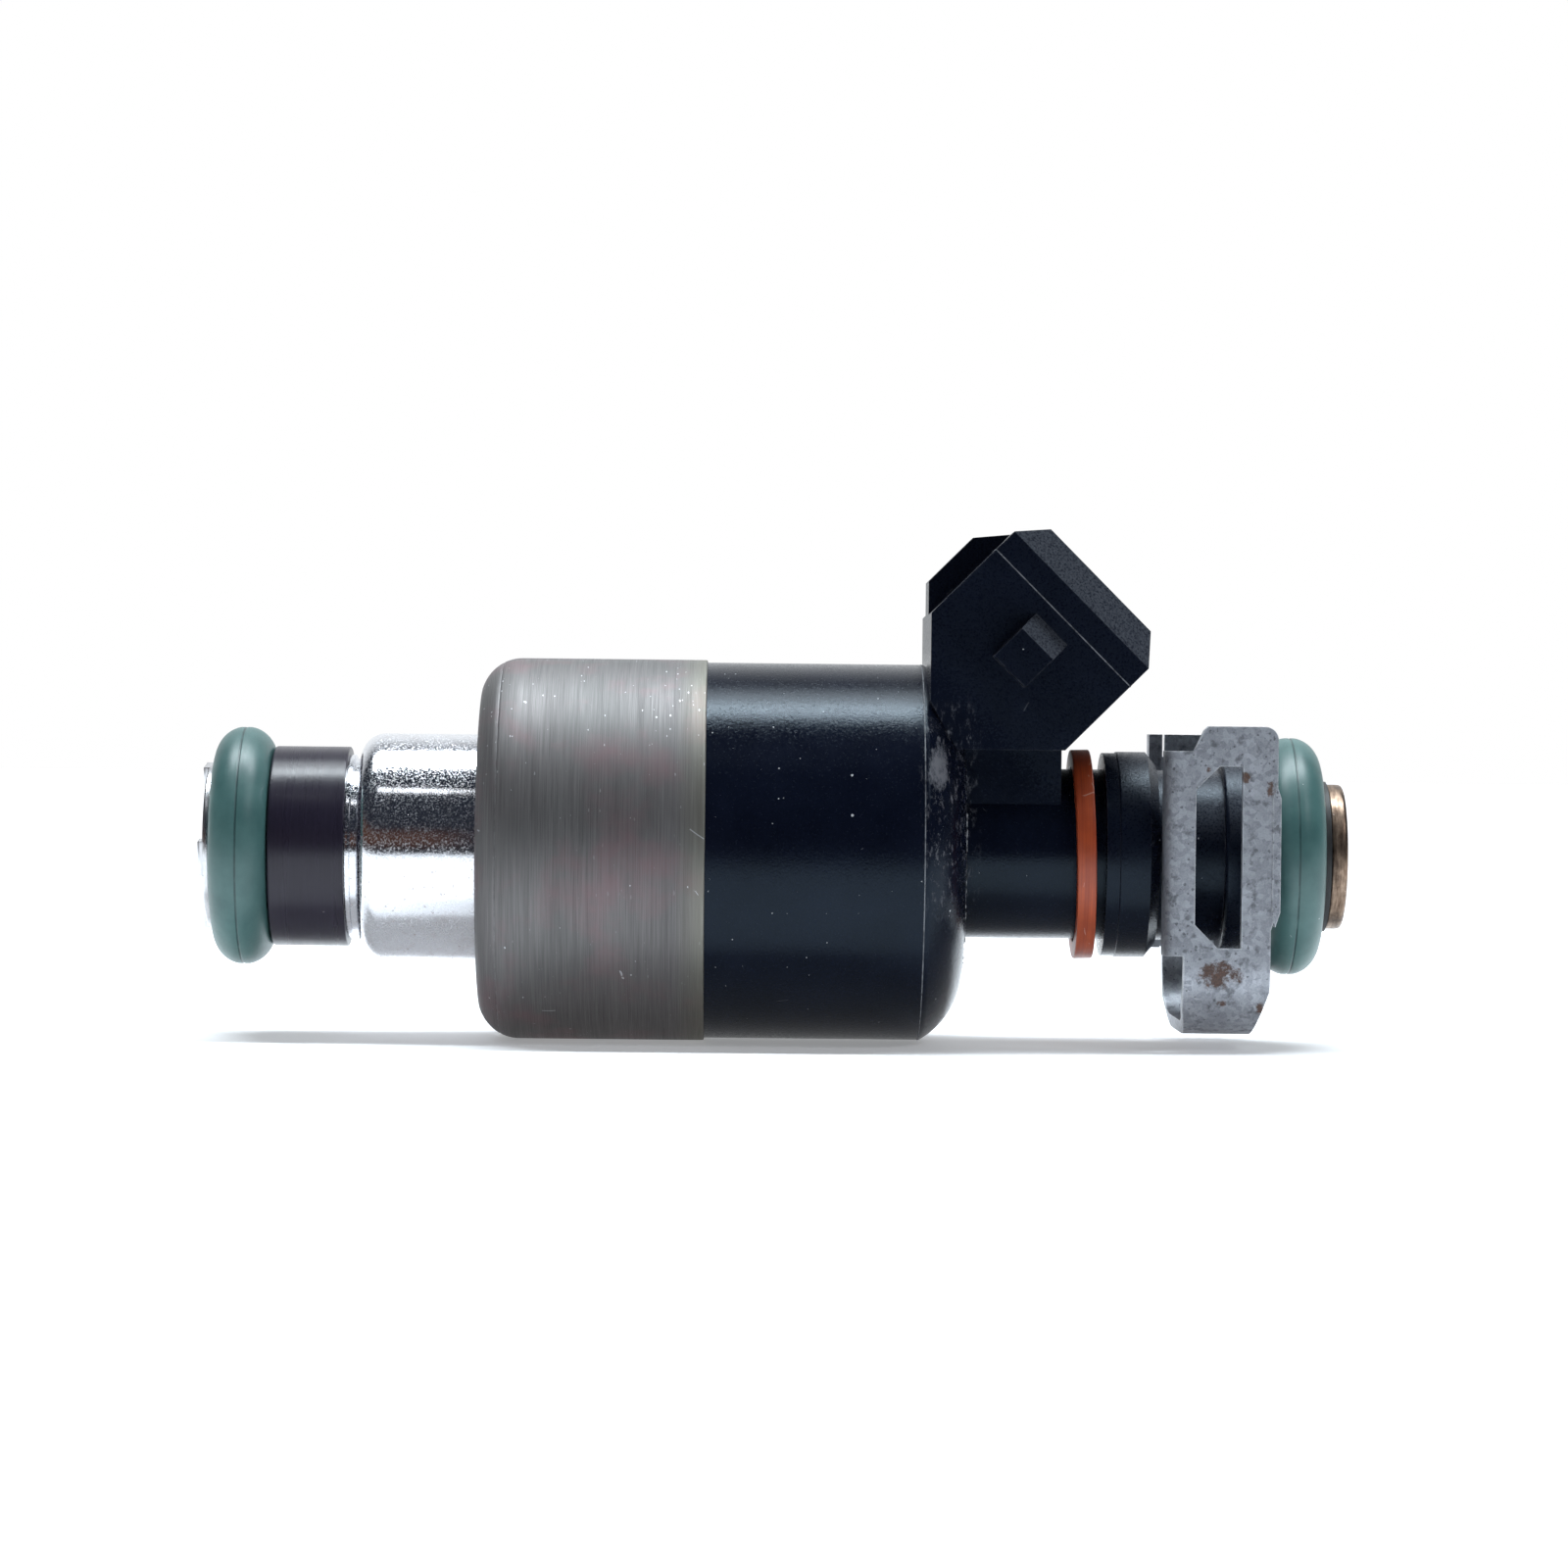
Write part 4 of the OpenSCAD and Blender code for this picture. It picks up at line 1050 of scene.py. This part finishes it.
def makeSocketSeam():
    # witness line of the mould's sliding core, right round the socket
    p = mouldPiece
    points = []
    for along in (p["frameAt"] - p["frameWidth"] / 2, p["frameAt"] + p["frameWidth"] / 2):
        for grow in (p["frameHeight"], -p["wall"] / 2):
            across = p["socketThick"] / 2 + grow
            side = p["socketWide"] / 2 + grow
            for t, y in ((-across, -side), (across, -side), (across, side), (-across, side)):
                lift = t - p["socketOffset"]
                x = (along - lift) / math.sqrt(2)
                z = (along + lift) / math.sqrt(2)
                points.append((x * mm, y * mm, z * mm))
    faces = []
    for k in range(4):
        n = (k + 1) % 4
        faces += [(k, n, 8 + n, 8 + k), (4 + k, 12 + k, 12 + n, 4 + n),
                  (k, 4 + k, 4 + n, n), (8 + k, 8 + n, 12 + n, 12 + k)]
    mesh = bpy.data.meshes.new("socketSeam")
    mesh.from_pydata(points, [], faces)
    faceOutwards(mesh)
    addPiece("socketSeam", mesh, "body_black", "injector")
    mesh.materials[0] = paleSeam
    setSharp(mesh, 20)


makeMoulding()
makeSocketSeam()

flashBead = {"bead": 0.13, "wander": 0.30, "steps": 520}
flashTree = makeFlashTree()
flashMesh = growMesh("endFlash", flashTree, {
    "Station": (mouldPiece["faceAt"] - 0.02) * mm, "Edge Radius": mouldPiece["faceEdge"] * mm,
    "Bead Radius": flashBead["bead"] * mm, "Wander": flashBead["wander"] * mm,
    "Seed": 3.0, "Steps": flashBead["steps"], "Finish": tornFlash})
addPiece("endFlash", flashMesh, "body_black", "injector")
flashMesh.materials[0] = tornFlash

softened = {  # node: piece name, edge width, body
    "retainer_clip": ("railClip", 0.10, "clip"),
    "tip_retainer": ("stakedDisc", 0.06, "injector"),
    "terminal_left": ("bladeLeft", 0.08, "injector"),
    "terminal_right": ("bladeRight", 0.08, "injector"),
}
slotOf = {part["node"]: part["material_slot"] for part in frame["record"]["subparts"]}
for nodeName, (pieceName, width, bodyName) in softened.items():
    softenedCopy(nodeName, pieceName, width, slotOf[nodeName], bodyName)


def makeLiftSpring():
    # a copy of the core spring in place of its node, left without a body; in the injector one
    # end goes with the sliding core and the other stays on the adjusting sleeve
    mesh = nodes["core_spring"].data.copy()
    mesh.name = "liftSpring"
    faceOutwards(mesh)
    spring = placeMesh("liftSpring", mesh, "spring_steel")
    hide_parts("core_spring")
    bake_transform(spring)


makeLiftSpring()

windingTurns = {"wire": 0.13, "turns": 30, "margin": 0.2}


def makeWinding():
    p = windingTurns
    low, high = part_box("coil_winding")
    first = low.x + p["margin"] * mm
    pitch = (high.x - low.x - 2 * p["margin"] * mm) / (p["turns"] - 1)
    mesh = growMesh("outerTurns", makeWireTree(), {
        "Start": first, "Pitch": pitch, "Turns": p["turns"], "Turn Radius": high.z,
        "Wire Radius": p["wire"] * mm, "Finish": finishes["enamelled_wire"]})
    addPiece("outerTurns", mesh, "enamelled_wire", "injector")


makeWinding()
print("injector: moulding, clip and winding made")


# studio

studio = {"lens": 116, "distance": 310, "standX": 30.4, "standZ": 7.0,
          "aimX": 32.94, "aimZ": 4.1, "roll": 0.62,
          "topLight": 0.62, "crestStrip": 0.78, "noseStrip": 0.012, "mouthLight": 0.10,
          "floorGlow": 1.12, "glowAt": (33.0, 0.0, 0.0), "glowReach": (45.0, 420.0),
          "darkTableY": (-130.0, -75.0), "tableHalf": 2.0}  # tableHalf in metres


def addSoftbox(name, place, aim, wide, deep, watts, colour):
    data = bpy.data.lights.new(name, "AREA")
    data.shape = "RECTANGLE"
    data.size = wide * mm
    data.size_y = deep * mm
    data.energy = watts
    data.color = colour
    lamp = bpy.data.objects.new(name, data)
    bpy.context.scene.collection.objects.link(lamp)
    lamp.location = Vector(place) * mm
    towards = Vector(aim) * mm - lamp.location
    lamp.rotation_euler = towards.to_track_quat("-Z", "Y").to_euler()


def makeFloor():
    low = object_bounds()[0].z
    half = studio["tableHalf"]
    mesh = bpy.data.meshes.new("tableTop")
    mesh.from_pydata([(-half, -half, low), (half, -half, low), (half, half, low),
                      (-half, half, low)], [], [(0, 1, 2, 3)])
    table = bpy.data.objects.new("tableTop", mesh)
    bpy.context.scene.collection.objects.link(table)
    made, tree, shader, at = startFinish("whitePaper", 0.7, 0.0, 0.2)
    drift = maskOf(tree, clouds, at, size=60.0)
    # the near part of the table stays dark in what the injector mirrors
    where = addNode(tree, "ShaderNodeSeparateXYZ", {0: at}).outputs
    seen = addNode(tree, "ShaderNodeLightPath").outputs["Is Camera Ray"]
    front = remap(tree, where[1], *studio["darkTableY"], 1.0, 0.0)
    unlit = times(tree, front, calc(tree, "SUBTRACT", 1.0, seen))
    paper = blend(tree, drift, (0.90, 0.915, 0.94, 1), (0.93, 0.935, 0.95, 1))
    feed(tree, shader, colour=blend(tree, unlit, paper, (0.04, 0.042, 0.05, 1)))
    away = addNode(tree, "ShaderNodeVectorMath", {0: at, 1: studio["glowAt"]},
                   operation="DISTANCE").outputs["Value"]
    glow = remap(tree, away, *studio["glowReach"], 0.24, 1.0)
    glow = times(tree, glow, calc(tree, "SUBTRACT", 1.0, unlit))
    tree.links.new(blend(tree, glow, (0.0, 0.0, 0.0, 1), (0.97, 0.985, 1.0, 1)),
                   shader.inputs["Emission Color"])
    shader.inputs["Emission Strength"].default_value = studio["floorGlow"]
    mesh.materials.append(made)


def makeWorld():
    world = bpy.data.worlds.new("studio")
    bpy.context.scene.world = world
    world.use_nodes = True
    tree = world.node_tree
    tree.nodes.clear()
    sky = addNode(tree, "ShaderNodeTexCoord").outputs["Generated"]
    way = addNode(tree, "ShaderNodeSeparateXYZ", {0: sky}).outputs
    back = remap(tree, way[1], 0.45, 0.85)
    low = between(tree, way[2], 0.02, 0.30, 0.06)
    low = times(tree, low, remap(tree, way[0], -0.03, 0.0, 1.0, 0.0))
    dark = blend(tree, low, (0.022, 0.026, 0.036, 1), (0.080, 0.040, 0.030, 1))
    room = blend(tree, back, dark, (0.95, 0.98, 1.0, 1))
    seen = addNode(tree, "ShaderNodeLightPath").outputs["Is Camera Ray"]
    colour = blend(tree, seen, room, (1.0, 1.0, 1.0, 1))
    glow = addNode(tree, "ShaderNodeBackground", {"Color": colour, "Strength": 1.0})
    sink = tree.nodes.new("ShaderNodeOutputWorld")
    tree.links.new(glow.outputs[0], sink.inputs[0])


def makeCamera():
    s = studio
    data = bpy.data.cameras.new("camera")
    data.lens = s["lens"]
    data.sensor_width = 36
    data.clip_start = 0.01
    data.clip_end = 20
    camera = bpy.data.objects.new("camera", data)
    bpy.context.scene.collection.objects.link(camera)
    camera.location = Vector((s["standX"], -s["distance"], s["standZ"])) * mm
    aim = Vector((s["aimX"], 0, s["aimZ"])) * mm - camera.location
    turn = aim.to_track_quat("-Z", "Y") @ Quaternion((0, 0, 1), math.radians(s["roll"]))
    camera.rotation_mode = "QUATERNION"
    camera.rotation_quaternion = turn
    bpy.context.scene.camera = camera


makeFloor()
makeWorld()
makeCamera()
addSoftbox("topBox", (33, 56, 250), (33, 0, 0), 320, 100, studio["topLight"],
           (0.90, 0.96, 1.0))
# narrow and bright: the glint along the top of the barrel
addSoftbox("crestStrip", (33, 20, 248), (33, 0, 0), 300, 22, studio["crestStrip"],
           (0.86, 0.95, 1.0))
# short strip, seen only in the nozzle end
addSoftbox("noseStrip", (-22, -150, 260), (10, 0, 0), 66, 13, studio["noseStrip"],
           (0.95, 0.98, 1.0))
# picks out the socket's mouth
addSoftbox("mouthLight", (190, -140, 190), (51, 0, 17), 90, 90, studio["mouthLight"],
           (0.93, 0.96, 1.0))
bpy.context.scene.view_settings.view_transform = "Standard"
bpy.context.scene.view_settings.look = "None"
print("injector: studio set")
